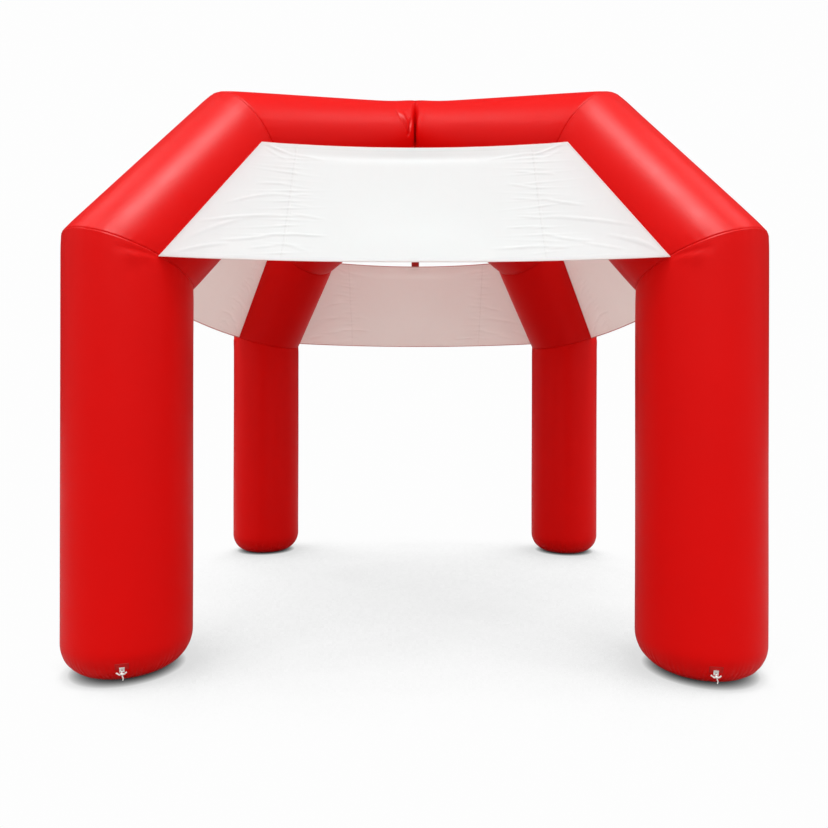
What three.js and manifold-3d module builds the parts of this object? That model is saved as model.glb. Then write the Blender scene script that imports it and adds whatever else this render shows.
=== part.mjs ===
// An inflatable event tent. Four upright inflated legs bend at knees into leaning rafters, and at shoulders
// into arms that meet at a crown. A cloth banner of three sewn widths closes each side between its rafters.
// Millimetres, +Z up. The origin is on the floor under the crown, and the front faces -Y.
import * as THREE from 'three';
import { mergeVertices } from 'three/addons/utils/BufferGeometryUtils.js';
import Module from 'manifold-3d';

// Driving dimensions of the tube frame
const LEG_OFFSET = 1650;        // leg axis from the tent's middle, along X and along Y
const TUBE_RADIUS = 350;
const KNEE_HEIGHT = 2330;       // where the axes of leg and rafter meet
const SHOULDER_OFFSET = 1150;   // shoulder from the tent's middle, along X and along Y
const SHOULDER_HEIGHT = 3200;   // where the axes of rafter and arm meet
const CROWN_HEIGHT = 3720;      // where the axes of the four arms meet
const BASE_ROUNDING = 190;      // radius from a leg's wall to its flat base
const SEAM_GAP = 0.4;           // between pieces that are sewn together

// Driving dimensions of a banner, which hangs between the outer sides of two neighbouring rafters
const BANNER_TOP = 0.925;       // top edge, as a part of the rafter's length from knee to shoulder
const BANNER_DIP = 4.5;         // degrees round the rafter, from its side line down to a bottom corner
const CLOTH_WIDTH = 1440;       // centre width between its two seams
const CLOTH_THICKNESS = 2;
const HEM_WIDTH = 32;
const HEM_THICKNESS = 3;
const EDGE_GAP = 6;             // from the rafter's side to the slanted edge, along the banner
const TOP_SAG = 45;             // drop of the top edge's middle, down the cloth
const BOTTOM_SAG = 34;          // drop of the bottom edge's middle, down the cloth
const EDGE_BELLY = 0.5;         // the belly left at the top and bottom edges, as a part of the side's belly

// Driving dimensions of a hanger strap
const STRAP_WIDTH = 80;
const STRAP_THICKNESS = 2;
const STRAP_SAG = 26;
const STRAP_TIP_WIDTH = 4;
const STRAP_TIP_SPREAD = 1.6;   // width gained for each millimetre away from the tip
const STRAP_END_GAP = 3;        // from the hem, and from the crown seam
const STRAP_SEAM_ANGLE = -20;   // degrees below the crown seam's foremost point

// Driving dimensions of a leg's tie
const PATCH = { width: 70, top: 136, bottom: 100, thickness: 2 };
const TAB = { width: 27, top: 115, bottom: 87, thickness: 2, holeHeight: 96, holeRadius: 4.5 };
const TAPE_THICKNESS = 2.2;
const KNOT = { height: 81, stand: 9, depth: 6, breadth: 9, rise: 6 };
const TRIM_GAP = 0.6;           // under a patch or a tab

// Stretches of a tie's tape: how its width lies, its width, and its points out from the tab, across it and
// up from the knot. They are the loop through the tab's hole, the two free ends and the tail.
const TAPE_STRETCHES = [
  {
    lies: 'across', width: 5,
    out: [9, 7, 0, -6, 3, 9], across: [0, 0, 0, 0, 0, 0], up: [0, 9, 15, 6, -4, 0],
  },
  { lies: 'upright', width: 8, out: [9, 11, 9, 7], across: [0, -11, -20, -28], up: [0, -2, 3, 8] },
  { lies: 'upright', width: 8, out: [9, 11, 10, 8], across: [0, 10, 18, 24], up: [0, -1, 4, 8] },
  { lies: 'across', width: 6, out: [9, 10, 8, 7], across: [2, 3, 7, 5], up: [0, -12, -24, -36] },
];
const TAPE_WAYS = { across: new THREE.Vector3(0, 1, 0), upright: new THREE.Vector3(0, 0, 1) };

// Fineness of the solids
const TUBE_SIDES = 48;
const ROUNDING_STEPS = 6;
const CENTRE_COLUMNS = 12;
const GORE_COLUMNS = 5;
const EVEN_ROWS = 5;            // of a banner, between its trough and its bottom hem
const HEM_STEP = 2;             // half the run over which a hem's thickness changes
const STRAP_ROWS = 10;
const PATCH_STEPS = { across: 4, up: 3 };
const TAB_STEPS = { across: 2, up: 6 };
const HOLE_SIDES = 16;
const KNOT_STEPS = { around: 10, up: 6 };
const TAPE_STEPS = 7;
const NEAR = 0.5;               // a point this close to a tube's end belongs to it
const NUDGE = 0.01;             // step for the slope of a surface

// Colour and gloss of each material
const FINISHES = {
  tube: { color: 0xdd1a16, roughness: 0.45, metalness: 0 },
  banner: { color: 0xf4f4f3, roughness: 0.85, metalness: 0 },
  strap: { color: 0xc01611, roughness: 0.6, metalness: 0 },
  patch: { color: 0xc9140f, roughness: 0.5, metalness: 0 },
  webbing: { color: 0xe9e6e3, roughness: 0.9, metalness: 0 },
};

// One row for each corner: its turn about the middle, and where its tie faces, in degrees from straight out
const CORNERS = [
  { name: 'front_left', turn: -135, tieBearing: 64 },
  { name: 'front_right', turn: -45, tieBearing: -55 },
  { name: 'back_right', turn: 45, tieBearing: 60 },
  { name: 'back_left', turn: 135, tieBearing: -60 },
];

// One row for each side: its turn, how far its cloth bellies in, the depth of the trough under its top hem,
// the strength of its folds, and which way round they lie
const SIDES = [
  { name: 'front', turn: 0, belly: 16, trough: 9, folds: 1.0, hand: 1 },
  { name: 'right', turn: 90, belly: 22, trough: 7, folds: 0.8, hand: -1 },
  { name: 'back', turn: 180, belly: 20, trough: 6, folds: 0.9, hand: -1 },
  { name: 'left', turn: -90, belly: 18, trough: 8, folds: 0.7, hand: 1 },
];
const TROUGH = { middle: 78, spread: 40 };

// Main folds of a banner: where each starts and ends, across from the middle and down from the top edge,
// its half width, and its height towards the outside
const FOLDS = [
  { fromAcross: -900, fromDown: 15, toAcross: -640, toDown: 150, spread: 60, height: -9 },
  { fromAcross: 905, fromDown: 15, toAcross: 660, toDown: 130, spread: 60, height: -8 },
  { fromAcross: -1290, fromDown: 880, toAcross: -700, toDown: 640, spread: 85, height: -9 },
  { fromAcross: -1120, fromDown: 560, toAcross: -690, toDown: 430, spread: 75, height: 7 },
  { fromAcross: 1300, fromDown: 880, toAcross: 720, toDown: 660, spread: 85, height: -10 },
  { fromAcross: 1130, fromDown: 560, toAcross: 700, toDown: 400, spread: 80, height: 7 },
  { fromAcross: -420, fromDown: 780, toAcross: 380, toDown: 800, spread: 120, height: 6 },
];

const degrees = THREE.MathUtils.degToRad;
const lerp = THREE.MathUtils.lerp;
const wasm = await Module();
wasm.setup();

// Welds a geometry's points, so that it is one closed surface
function weld(geometry) {
  const bare = new THREE.BufferGeometry();
  bare.setAttribute('position', geometry.getAttribute('position'));
  bare.setIndex(geometry.getIndex());
  const welded = mergeVertices(bare);
  welded.computeVertexNormals();
  return welded;
}

function toSolid(geometry) {
  const welded = weld(geometry);
  const vertProperties = new Float32Array(welded.getAttribute('position').array);
  const triVerts = new Uint32Array(welded.getIndex().array);
  return new wasm.Manifold(new wasm.Mesh({ numProp: 3, vertProperties, triVerts }));
}

function fromSolid(solid) {
  const mesh = solid.getMesh();
  const geometry = new THREE.BufferGeometry();
  geometry.setAttribute('position', new THREE.BufferAttribute(mesh.vertProperties, 3));
  geometry.setIndex(new THREE.BufferAttribute(mesh.triVerts, 1));
  geometry.computeVertexNormals();
  return geometry;
}

function piece(name, geometry, finish) {
  const mesh = new THREE.Mesh(geometry, new THREE.MeshStandardMaterial(FINISHES[finish]));
  mesh.name = name;
  return mesh;
}

// A thin sheet whose middle lies on at(across, down) over a grid of stations. Its thickness is a function
// of the same two values.
function sheet(acrossStations, downStations, thicknessAt, at) {
  const columns = acrossStations.length - 1;
  const rows = downStations.length - 1;
  const geometry = new THREE.BoxGeometry(1, 1, 1, columns, rows, 1);
  const points = geometry.getAttribute('position');
  for (let i = 0; i < points.count; i += 1) {
    const across = acrossStations[Math.round((points.getX(i) + 0.5) * columns)];
    const down = downStations[Math.round((points.getY(i) + 0.5) * rows)];
    const alongAcross = at(across + NUDGE, down).sub(at(across - NUDGE, down));
    const alongDown = at(across, down + NUDGE).sub(at(across, down - NUDGE));
    const normal = alongAcross.cross(alongDown).normalize();
    const offset = thicknessAt(across, down) * points.getZ(i);
    const point = at(across, down).addScaledVector(normal, offset);
    points.setXYZ(i, point.x, point.y, point.z);
  }
  return weld(geometry);
}

function stations(from, to, steps) {
  return Array.from({ length: steps + 1 }, (_, i) => lerp(from, to, i / steps));
}

// Tube frame. Each corner is drawn in its own upright plane: first the distance out along the diagonal,
// then the height.
const FOOT_POINT = new THREE.Vector2(LEG_OFFSET * Math.SQRT2, 0);
const KNEE_POINT = new THREE.Vector2(LEG_OFFSET * Math.SQRT2, KNEE_HEIGHT);
const SHOULDER_POINT = new THREE.Vector2(SHOULDER_OFFSET * Math.SQRT2, SHOULDER_HEIGHT);
const CROWN_POINT = new THREE.Vector2(0, CROWN_HEIGHT);
const LEG_AXIS = axis(FOOT_POINT, KNEE_POINT);
const RAFTER_AXIS = axis(KNEE_POINT, SHOULDER_POINT);
const ARM_AXIS = axis(SHOULDER_POINT, CROWN_POINT);

function axis(from, to) {
  const along = to.clone().sub(from).normalize();
  const outer = new THREE.Vector2(along.y, -along.x);
  return { from, along, outer, length: from.distanceTo(to) };
}

// The plane that halves the bend to a neighbour, as a slide along the tube's axis of each point of its end
function seamSlide(tube, neighbour, gapSign) {
  const slope = -tube.outer.dot(neighbour.along) / (1 + tube.along.dot(neighbour.along));
  const gap = gapSign * (SEAM_GAP / 2) * Math.hypot(1, slope);
  return (outer) => slope * outer + gap;
}

// The two upright planes that part an arm from its neighbours at the crown
function crownSlide(outer, side) {
  const gap = SEAM_GAP / Math.SQRT2;
  return (outer * ARM_AXIS.outer.x - Math.abs(side) - gap) / -ARM_AXIS.along.x;
}

// Slides the two ends of a tube, which stands on its local +Y axis with its outer side towards +X
function slideEnds(geometry, length, startSlide, endSlide) {
  const points = geometry.getAttribute('position');
  for (let i = 0; i < points.count; i += 1) {
    const height = points.getY(i);
    const outer = points.getX(i);
    const side = points.getZ(i);
    if (height < NEAR) {
      points.setY(i, startSlide(outer, side));
    } else if (height > length - NEAR) {
      points.setY(i, length + endSlide(outer, side));
    }
  }
  return weld(geometry);
}

function placeAlong(mesh, tube) {
  const outer = new THREE.Vector3(tube.outer.x, 0, tube.outer.y);
  const along = new THREE.Vector3(tube.along.x, 0, tube.along.y);
  const side = new THREE.Vector3().crossVectors(outer, along);
  mesh.position.set(tube.from.x, 0, tube.from.y);
  mesh.setRotationFromMatrix(new THREE.Matrix4().makeBasis(outer, along, side));
  return mesh;
}

function straightTube(tube, startSlide, endSlide) {
  const geometry = new THREE.CylinderGeometry(TUBE_RADIUS, TUBE_RADIUS, tube.length, TUBE_SIDES, 1);
  geometry.translate(0, tube.length / 2, 0);
  return slideEnds(geometry, tube.length, startSlide, endSlide);
}

// A leg's outline: flat base, rounding, straight wall, then the end that is cut on the slant
function legGeometry() {
  const outline = [new THREE.Vector2(0, 0)];
  for (let i = 0; i <= ROUNDING_STEPS; i += 1) {
    const angle = (Math.PI / 2) * (i / ROUNDING_STEPS);
    const reach = TUBE_RADIUS - BASE_ROUNDING + BASE_ROUNDING * Math.sin(angle);
    outline.push(new THREE.Vector2(reach, BASE_ROUNDING * (1 - Math.cos(angle))));
  }
  outline.push(new THREE.Vector2(TUBE_RADIUS, LEG_AXIS.length), new THREE.Vector2(0, LEG_AXIS.length));
  const geometry = new THREE.LatheGeometry(outline, TUBE_SIDES);
  return slideEnds(geometry, LEG_AXIS.length, () => 0, seamSlide(LEG_AXIS, RAFTER_AXIS, -1));
}

function rafterGeometry() {
  const kneeSlide = seamSlide(RAFTER_AXIS, LEG_AXIS, 1);
  const shoulderSlide = seamSlide(RAFTER_AXIS, ARM_AXIS, -1);
  return straightTube(RAFTER_AXIS, kneeSlide, shoulderSlide);
}

function armGeometry() {
  return straightTube(ARM_AXIS, seamSlide(ARM_AXIS, RAFTER_AXIS, 1), crownSlide);
}

// Leg ties. A tie is drawn at the leg's axis, facing +X.
function legWall(height) {
  const drop = Math.max(BASE_ROUNDING - height, 0);
  return TUBE_RADIUS - BASE_ROUNDING + Math.sqrt(BASE_ROUNDING ** 2 - drop ** 2);
}

function onLeg(radius, across, height) {
  const angle = across / TUBE_RADIUS;
  return new THREE.Vector3(radius * Math.cos(angle), radius * Math.sin(angle), height);
}

function patchGeometry() {
  const lift = TRIM_GAP + PATCH.thickness / 2;
  const across = stations(-PATCH.width / 2, PATCH.width / 2, PATCH_STEPS.across);
  const heights = stations(PATCH.bottom, PATCH.top, PATCH_STEPS.up);
  const surface = (side, height) => onLeg(legWall(height) + lift, side, height);
  return sheet(across, heights, () => PATCH.thickness, surface);
}

// A tab lies on its patch and hangs straight down below it
function tabRadius(height) {
  const lift = TRIM_GAP + PATCH.thickness + TRIM_GAP + TAB.thickness / 2;
  return legWall(Math.max(height, PATCH.bottom)) + lift;
}

function tabGeometry() {
  const across = stations(-TAB.width / 2, TAB.width / 2, TAB_STEPS.across);
  const heights = stations(TAB.bottom, TAB.top, TAB_STEPS.up);
  const surface = (side, height) => onLeg(tabRadius(height), side, height);
  const tab = sheet(across, heights, () => TAB.thickness, surface);
  const drill = new THREE.CylinderGeometry(TAB.holeRadius, TAB.holeRadius, TAB.width, HOLE_SIDES);
  drill.rotateZ(Math.PI / 2);
  drill.translate(tabRadius(TAB.holeHeight), 0, TAB.holeHeight);
  return fromSolid(toSolid(tab).subtract(toSolid(drill)));
}

// A length of tape along a smooth line, its width laid along one direction
function tapeGeometry(line, way, width) {
  const path = new THREE.CatmullRomCurve3(line);
  const surface = (side, part) => (
    path.getPoint(THREE.MathUtils.clamp(part, 0, 1)).addScaledVector(way, side));
  return sheet([-width / 2, width / 2], stations(0, 1, TAPE_STEPS), () => TAPE_THICKNESS, surface);
}

// The knot and its stretches of tape, in one piece
function tieGeometry() {
  const tabFace = tabRadius(KNOT.height);
  const knot = new THREE.SphereGeometry(1, KNOT_STEPS.around, KNOT_STEPS.up);
  knot.scale(KNOT.depth, KNOT.breadth, KNOT.rise);
  knot.translate(tabFace + KNOT.stand, 0, KNOT.height);
  let tie = toSolid(knot);
  for (const { lies, width, out, across, up } of TAPE_STRETCHES) {
    const line = out.map((reach, i) => (
      new THREE.Vector3(tabFace + reach, across[i], KNOT.height + up[i])));
    tie = tie.add(toSolid(tapeGeometry(line, TAPE_WAYS[lies], width)));
  }
  return fromSolid(tie);
}

// Banners. A side is drawn facing -Y. Its slanted edges follow the rafters' side lines, and leave them a
// little as they go down.
function rafterSide(part, dip) {
  const place = KNEE_POINT.clone().lerp(SHOULDER_POINT, part);
  place.addScaledVector(RAFTER_AXIS.outer, -TUBE_RADIUS * Math.sin(dip));
  const side = TUBE_RADIUS * Math.cos(dip);
  return new THREE.Vector3((place.x - side) / Math.SQRT2, (-place.x - side) / Math.SQRT2, place.y);
}

const TOP_CORNER = rafterSide(BANNER_TOP, 0);
const BOTTOM_CORNER = rafterSide(0, degrees(BANNER_DIP));
const DOWN_CLOTH = new THREE.Vector3(0, BOTTOM_CORNER.y - TOP_CORNER.y, BOTTOM_CORNER.z - TOP_CORNER.z);
const CLOTH_DROP = DOWN_CLOTH.length();
DOWN_CLOTH.normalize();
const OUT_OF_CLOTH = new THREE.Vector3(0, DOWN_CLOTH.z, -DOWN_CLOTH.y);

function halfWidth(down) {
  return lerp(TOP_CORNER.x, BOTTOM_CORNER.x, down / CLOTH_DROP) - EDGE_GAP;
}

// Height of one fold: a soft ridge or trough along a straight line, fading out at both ends
function foldHeight(fold, across, down) {
  const runAcross = fold.toAcross - fold.fromAcross;
  const runDown = fold.toDown - fold.fromDown;
  const run = Math.hypot(runAcross, runDown);
  const along = ((across - fold.fromAcross) * runAcross + (down - fold.fromDown) * runDown) / run ** 2;
  const away = ((across - fold.fromAcross) * runDown - (down - fold.fromDown) * runAcross) / run;
  const fade = Math.sin(Math.PI * THREE.MathUtils.clamp(along, 0, 1));
  return fold.height * fade * Math.exp(-((away / fold.spread) ** 2));
}

// The cloth's middle surface: a slanted plane whose top and bottom edges sag, with a belly, a trough under
// the top hem, and the main folds
function bannerSurface(side) {
  return (across, down) => {
    const part = down / CLOTH_DROP;
    const slack = 1 - Math.min((across / halfWidth(down)) ** 2, 1);
    const sag = slack * lerp(TOP_SAG, BOTTOM_SAG, part);
    const belly = side.belly * slack * (EDGE_BELLY + Math.sin(Math.PI * part));
    const trough = side.trough * slack * Math.exp(-(((down - TROUGH.middle) / TROUGH.spread) ** 2));
    let out = -belly - trough;
    for (const fold of FOLDS) {
      out += side.folds * slack * foldHeight(fold, side.hand * across, down);
    }
    const point = new THREE.Vector3(across, TOP_CORNER.y, TOP_CORNER.z);
    return point.addScaledVector(DOWN_CLOTH, down + sag).addScaledVector(OUT_OF_CLOTH, out);
  };
}

function clothThickness(down) {
  const inHem = Math.min(down, CLOTH_DROP - down) < HEM_WIDTH;
  return inHem ? HEM_THICKNESS : CLOTH_THICKNESS;
}

// Rows down a banner: close together at the hems and at the trough, even between
function bannerRows() {
  const hem = [HEM_WIDTH - HEM_STEP, HEM_WIDTH + HEM_STEP];
  const top = [0, ...hem, TROUGH.middle, TROUGH.middle + TROUGH.spread];
  const bottom = [CLOTH_DROP - hem[1], CLOTH_DROP - hem[0], CLOTH_DROP];
  const even = stations(top.at(-1) + TROUGH.spread, bottom[0], EVEN_ROWS);
  return [...top, ...even, ...bottom.slice(1)];
}

function centreGeometry(side) {
  const edge = CLOTH_WIDTH / 2 - SEAM_GAP / 2;
  const columns = stations(-edge, edge, CENTRE_COLUMNS);
  return sheet(columns, bannerRows(), (_, down) => clothThickness(down), bannerSurface(side));
}

// A gore runs from a seam, part 0, to the slanted edge, part 1, or -1 on the left
function goreGeometry(side, sign) {
  const surface = bannerSurface(side);
  const seam = CLOTH_WIDTH / 2 + SEAM_GAP / 2;
  const columns = sign > 0 ? stations(0, 1, GORE_COLUMNS) : stations(-1, 0, GORE_COLUMNS);
  const at = (part, down) => surface(sign * seam + part * (halfWidth(down) - seam), down);
  return sheet(columns, bannerRows(), (_, down) => clothThickness(down), at);
}

// A point of the seam between two neighbouring arms, in the upright plane through the side's middle
function crownSeam(angle) {
  const tilt = Math.atan2(ARM_AXIS.along.y, -ARM_AXIS.along.x);
  const reach = TUBE_RADIUS * Math.cos(angle);
  const rise = (TUBE_RADIUS * Math.sin(angle)) / Math.cos(tilt) - reach * Math.tan(tilt);
  return new THREE.Vector3(0, -Math.SQRT2 * reach, CROWN_HEIGHT + rise);
}

// A strap from the top hem's middle, slack in its length, to its tip in the crown seam
function strapGeometry(side) {
  const hem = bannerSurface(side)(0, 0);
  const seam = crownSeam(degrees(STRAP_SEAM_ANGLE));
  const way = seam.clone().sub(hem).normalize();
  const start = hem.clone().addScaledVector(way, STRAP_END_GAP);
  const end = seam.clone().addScaledVector(way, -STRAP_END_GAP);
  const middle = start.clone().lerp(end, 0.5);
  middle.z -= 2 * STRAP_SAG;
  const path = new THREE.QuadraticBezierCurve3(start, middle, end);
  const length = path.getLength();
  const spread = (STRAP_WIDTH - STRAP_TIP_WIDTH) / STRAP_TIP_SPREAD;
  const rows = [...stations(0, 1 - spread / length, STRAP_ROWS), 1];
  const surface = (half, part) => {
    const width = STRAP_TIP_WIDTH + STRAP_TIP_SPREAD * length * Math.max(1 - part, 0);
    return path.getPoint(part).add(new THREE.Vector3(half * Math.min(width, STRAP_WIDTH), 0, 0));
  };
  return sheet([-0.5, 0, 0.5], rows, () => STRAP_THICKNESS, surface);
}

function corner({ name, turn, tieBearing }) {
  const group = new THREE.Group();
  group.rotation.z = degrees(turn);
  group.add(placeAlong(piece(`leg_${name}`, legGeometry(), 'tube'), LEG_AXIS));
  group.add(placeAlong(piece(`rafter_${name}`, rafterGeometry(), 'tube'), RAFTER_AXIS));
  group.add(placeAlong(piece(`arm_${name}`, armGeometry(), 'tube'), ARM_AXIS));
  const tie = new THREE.Group();
  tie.position.set(FOOT_POINT.x, 0, 0);
  tie.rotation.z = degrees(tieBearing);
  tie.add(piece(`tie_patch_${name}`, patchGeometry(), 'patch'));
  tie.add(piece(`tie_tab_${name}`, tabGeometry(), 'webbing'));
  tie.add(piece(`tie_${name}`, tieGeometry(), 'webbing'));
  group.add(tie);
  return group;
}

function banner(side) {
  const group = new THREE.Group();
  group.rotation.z = degrees(side.turn);
  group.add(piece(`banner_${side.name}_centre`, centreGeometry(side), 'banner'));
  group.add(piece(`banner_${side.name}_gore_left`, goreGeometry(side, -1), 'banner'));
  group.add(piece(`banner_${side.name}_gore_right`, goreGeometry(side, 1), 'banner'));
  group.add(piece(`strap_${side.name}`, strapGeometry(side), 'strap'));
  return group;
}

const tent = new THREE.Group();
CORNERS.forEach((row) => tent.add(corner(row)));
SIDES.forEach((row) => tent.add(banner(row)));

export default tent;
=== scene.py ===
"""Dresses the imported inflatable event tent: air-filled tubes with sewn seams, slack cloth banners, hanger
straps and leg ties. Sizes are in metres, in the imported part's own frame: +Z up, the front towards -Y."""

import math

import bpy
import numpy as np
from bpy.props import FloatProperty, FloatVectorProperty, PointerProperty
from mathutils import Matrix


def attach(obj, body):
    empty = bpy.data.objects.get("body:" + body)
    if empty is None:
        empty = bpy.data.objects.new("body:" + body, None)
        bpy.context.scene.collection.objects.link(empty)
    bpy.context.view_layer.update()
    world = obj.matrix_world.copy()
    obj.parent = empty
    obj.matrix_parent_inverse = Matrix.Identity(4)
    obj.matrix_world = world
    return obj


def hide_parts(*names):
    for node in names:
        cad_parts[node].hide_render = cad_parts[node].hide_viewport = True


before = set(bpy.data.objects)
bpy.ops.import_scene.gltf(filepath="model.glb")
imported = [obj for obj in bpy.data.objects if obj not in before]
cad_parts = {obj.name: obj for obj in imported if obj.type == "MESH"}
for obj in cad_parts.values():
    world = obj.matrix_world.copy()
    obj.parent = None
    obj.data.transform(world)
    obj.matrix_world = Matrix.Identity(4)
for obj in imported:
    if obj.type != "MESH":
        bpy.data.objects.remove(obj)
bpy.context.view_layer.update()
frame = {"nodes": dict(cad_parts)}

bl_info = {
    "name": "Inflatable Event Tent",
    "version": (1, 0, 0),
    "blender": (4, 5, 0),
    "location": "View3D > Sidebar > Tent",
    "description": "Dresses the packed tent with inflated skins, cloth banners, straps and ties",
    "category": "Object",
}

MM = 0.001
ROOT2 = math.sqrt(2)
PHOTO_SIDE = 828                 # pixels, the picture is square
SENSOR = 36.0                    # millimetres, across the picture
WHITE = (1, 1, 1, 1)

# One row for each corner: its turn about the middle, and where its tie faces, in degrees from straight out
CORNERS = {
    "front_left": {"turn": -135, "tie": 64},
    "front_right": {"turn": -45, "tie": -55},
    "back_right": {"turn": 45, "tie": 60},
    "back_left": {"turn": 135, "tie": -60},
}

# One row for each side: its turn, the two corners that hold it, how far its cloth bellies in and the depth of
# the trough under its top hem in millimetres, the strength of its main folds and of its fine ones, how fine
# its mesh is, and which way round the folds lie
SIDES = {
    "front": {"turn": 0, "corners": ("front_left", "front_right"),
              "belly": 16, "trough": 9, "folds": 1.0, "fine": 0.6, "mesh": 1.0, "hand": 1},
    "right": {"turn": 90, "corners": ("front_right", "back_right"),
              "belly": 22, "trough": 7, "folds": 0.8, "fine": 0.5, "mesh": 0.55, "hand": -1},
    "back": {"turn": 180, "corners": ("back_right", "back_left"),
             "belly": 20, "trough": 6, "folds": 0.9, "fine": 0.55, "mesh": 0.55, "hand": -1},
    "left": {"turn": -90, "corners": ("back_left", "front_left"),
             "belly": 18, "trough": 8, "folds": 0.7, "fine": 0.5, "mesh": 0.55, "hand": 1},
}

# Main folds of a banner in millimetres, as in the solids: from across, from down, to across, to down, bow of
# the line down the cloth, half width, height towards the outside
MAIN_FOLDS = [
    (-900, 15, -640, 150, 0, 60, -9),
    (905, 15, 660, 130, 0, 60, -8),
    (-1290, 880, -700, 640, 0, 85, -9),
    (-1120, 560, -690, 430, 0, 75, 7),
    (1300, 880, 720, 660, 0, 85, -10),
    (1130, 560, 700, 400, 0, 80, 7),
    (-420, 780, 380, 800, 0, 120, 6),
]

# Fine folds of a banner, in the same measures: the pulls at the four corners,
# the long arcs in the gores, the short ones beside the seams and the hollow under the top hem
FINE_FOLDS = [
    (-930, 8, -735, 88, 5, 9, 9.0),
    (-765, 82, -545, 118, 0, 11, 7.0),
    (-905, 52, -760, 140, 4, 10, 4.0),
    (928, 6, 705, 90, 5, 9, 9.0),
    (722, 68, 450, 106, 0, 12, 6.5),
    (900, 58, 745, 132, 4, 10, 4.0),
    (-722, 336, -930, 346, -4, 9, 5.0),
    (-722, 424, -1085, 522, -26, 11, 7.0),
    (-724, 584, -1220, 672, -14, 12, 7.5),
    (-905, 612, -1300, 834, -30, 12, 6.5),
    (-718, 722, -1085, 796, 12, 11, 8.0),
    (-1015, 818, -1350, 930, -18, 11, 8.5),
    (-732, 818, -910, 852, 0, 9, 5.0),
    (-718, 729, -490, 740, 4, 8, 7.5),
    (-716, 806, -565, 870, 0, 9, 5.0),
    (-714, 572, -505, 608, 0, 9, 5.0),
    (-718, 424, -590, 414, 0, 8, 4.5),
    (-712, 500, -600, 512, 0, 8, 3.5),
    (545, 316, 715, 362, 4, 8, 5.0),
    (570, 438, 718, 460, 0, 8, 5.0),
    (600, 222, 710, 236, 0, 8, 4.5),
    (585, 588, 715, 602, 0, 8, 5.0),
    (425, 840, 725, 816, 4, 10, 6.5),
    (522, 676, 712, 670, 0, 8, 5.0),
    (722, 448, 980, 524, 8, 10, 7.0),
    (722, 591, 1245, 702, -12, 12, 7.0),
    (722, 728, 995, 792, 16, 11, 7.5),
    (920, 802, 1160, 870, 0, 10, 5.0),
    (1185, 784, 1368, 922, -14, 11, 8.5),
    (1070, 754, 1325, 890, -16, 11, 6.5),
    (728, 844, 860, 838, 0, 8, 4.5),
    (722, 248, 840, 260, 0, 8, 4.5),
    (-640, 82, 620, 78, 6, 34, -4.0),
]

# How sharply a fold fades at its ends, on a tube and on cloth
TUBE_FOLD_FADE = 0.7
CLOTH_FOLD_FADE = 0.8

# The trough under a banner's top hem: its place and half width in millimetres. Then how far from the slanted
# edges the fine folds fade, in millimetres.
TROUGH_PLACE = 78
TROUGH_WIDTH = 40
HELD_WIDTH = 60

# What is left of a banner's belly at its top and bottom edges, as a share
BELLY_EDGE = 0.5

# Where small puckers cross the two seams of a banner, in millimetres down from the top edge
SEAM_PUCKERS = {
    -1: (121, 159, 204, 247, 302, 349, 391, 433, 475, 532, 593, 623, 668, 740, 816, 882),
    1: (76, 112, 152, 205, 246, 325, 367, 416, 462, 514, 568, 606, 681, 738, 786, 830, 874),
}
# The fixed draw of each pucker, least and most: its reach inwards and outwards, its slope, and its height.
# Then its half width in millimetres.
PUCKER_SEED = 5
PUCKER_LEAST = (35, 40, -0.14, 4.0)
PUCKER_MOST = (90, 110, 0.14, 8.0)
PUCKER_WIDTH = 8

# Where a banner's cloth doubles, in millimetres: half a felled seam, its soft edge, and a hem's soft edge
FELL_HALF = 6.5
FELL_EDGE = 1.5
HEM_EDGE = 2

# A sewn seam of a tube: the half widths of its groove and of its dip, the height of its puckers, how far they
# reach and where they start, all in millimetres. A second row of puckers has its own strength, is fewer, and
# shifts by its own share of the phase.
SEAM = {"groove_width": 4.0, "dip_width": 48, "pucker": 0.45, "reach": 38, "start": 0.5,
        "second": 0.7, "fewer": 9, "shift": 2.1}
# The depths of groove and dip in millimetres, and the puckers round the tube, at the two kinds of seam
KNEE_SEAM = {"groove": 3.0, "dip": 2.5, "puckers": 46}
SHOULDER_SEAM = {"groove": 4.0, "dip": 3, "puckers": 43}

# The slow waves of a blown-up skin: their height in millimetres, and for each its turns round the tube, its
# turn for each metre along, and its share of the phase. Then how many metres from a seam or the rounding they
# are full, on rafters and arms and on legs.
SKIN_WAVE = 0.6
SKIN_WAVES = ((2, 3.1, 1.0), (3, -2.3, 1.7))
TUBE_EASE = 0.2
LEG_EASE = 0.3

# Gathers round a leg's base, in millimetres: their height, where they are strongest, how far they reach from
# there, and how high above the floor they are full. Over an angle in radians they lie flat under the tie's
# patch. Each wave has a count, a strength and a phase.
GATHERS = {"height": 0.8, "place": 70, "reach": 60, "full": 25, "flat": 0.16}
GATHER_WAVES = ((71, 1.0, 0.4), (84, 0.8, 2.0), (47, 0.7, 4.1))

# Creases that the crown pulls into each arm: angle from its outer side in degrees and distance from the deep
# end of the slit in millimetres, from one end to the other, then half width and height in millimetres
CROWN_FOLDS = {
    "front_left": [(54, 230, 90, 143, 8, -13.0), (58, 177, 88, 135, 20, 15.0), (68, 84, 92, 153, 8, -12.0)],
    "front_right": [(-48, 150, -92, 60, 20, -3.0), (-60, 70, -100, 95, 22, 3.0)],
    "back_right": [(50, 190, 95, 70, 14, -5.0), (-52, 160, -90, 60, 18, -4.0)],
    "back_left": [(55, 170, 92, 66, 16, -4.0), (-50, 210, -94, 72, 14, -6.0)],
}

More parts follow.
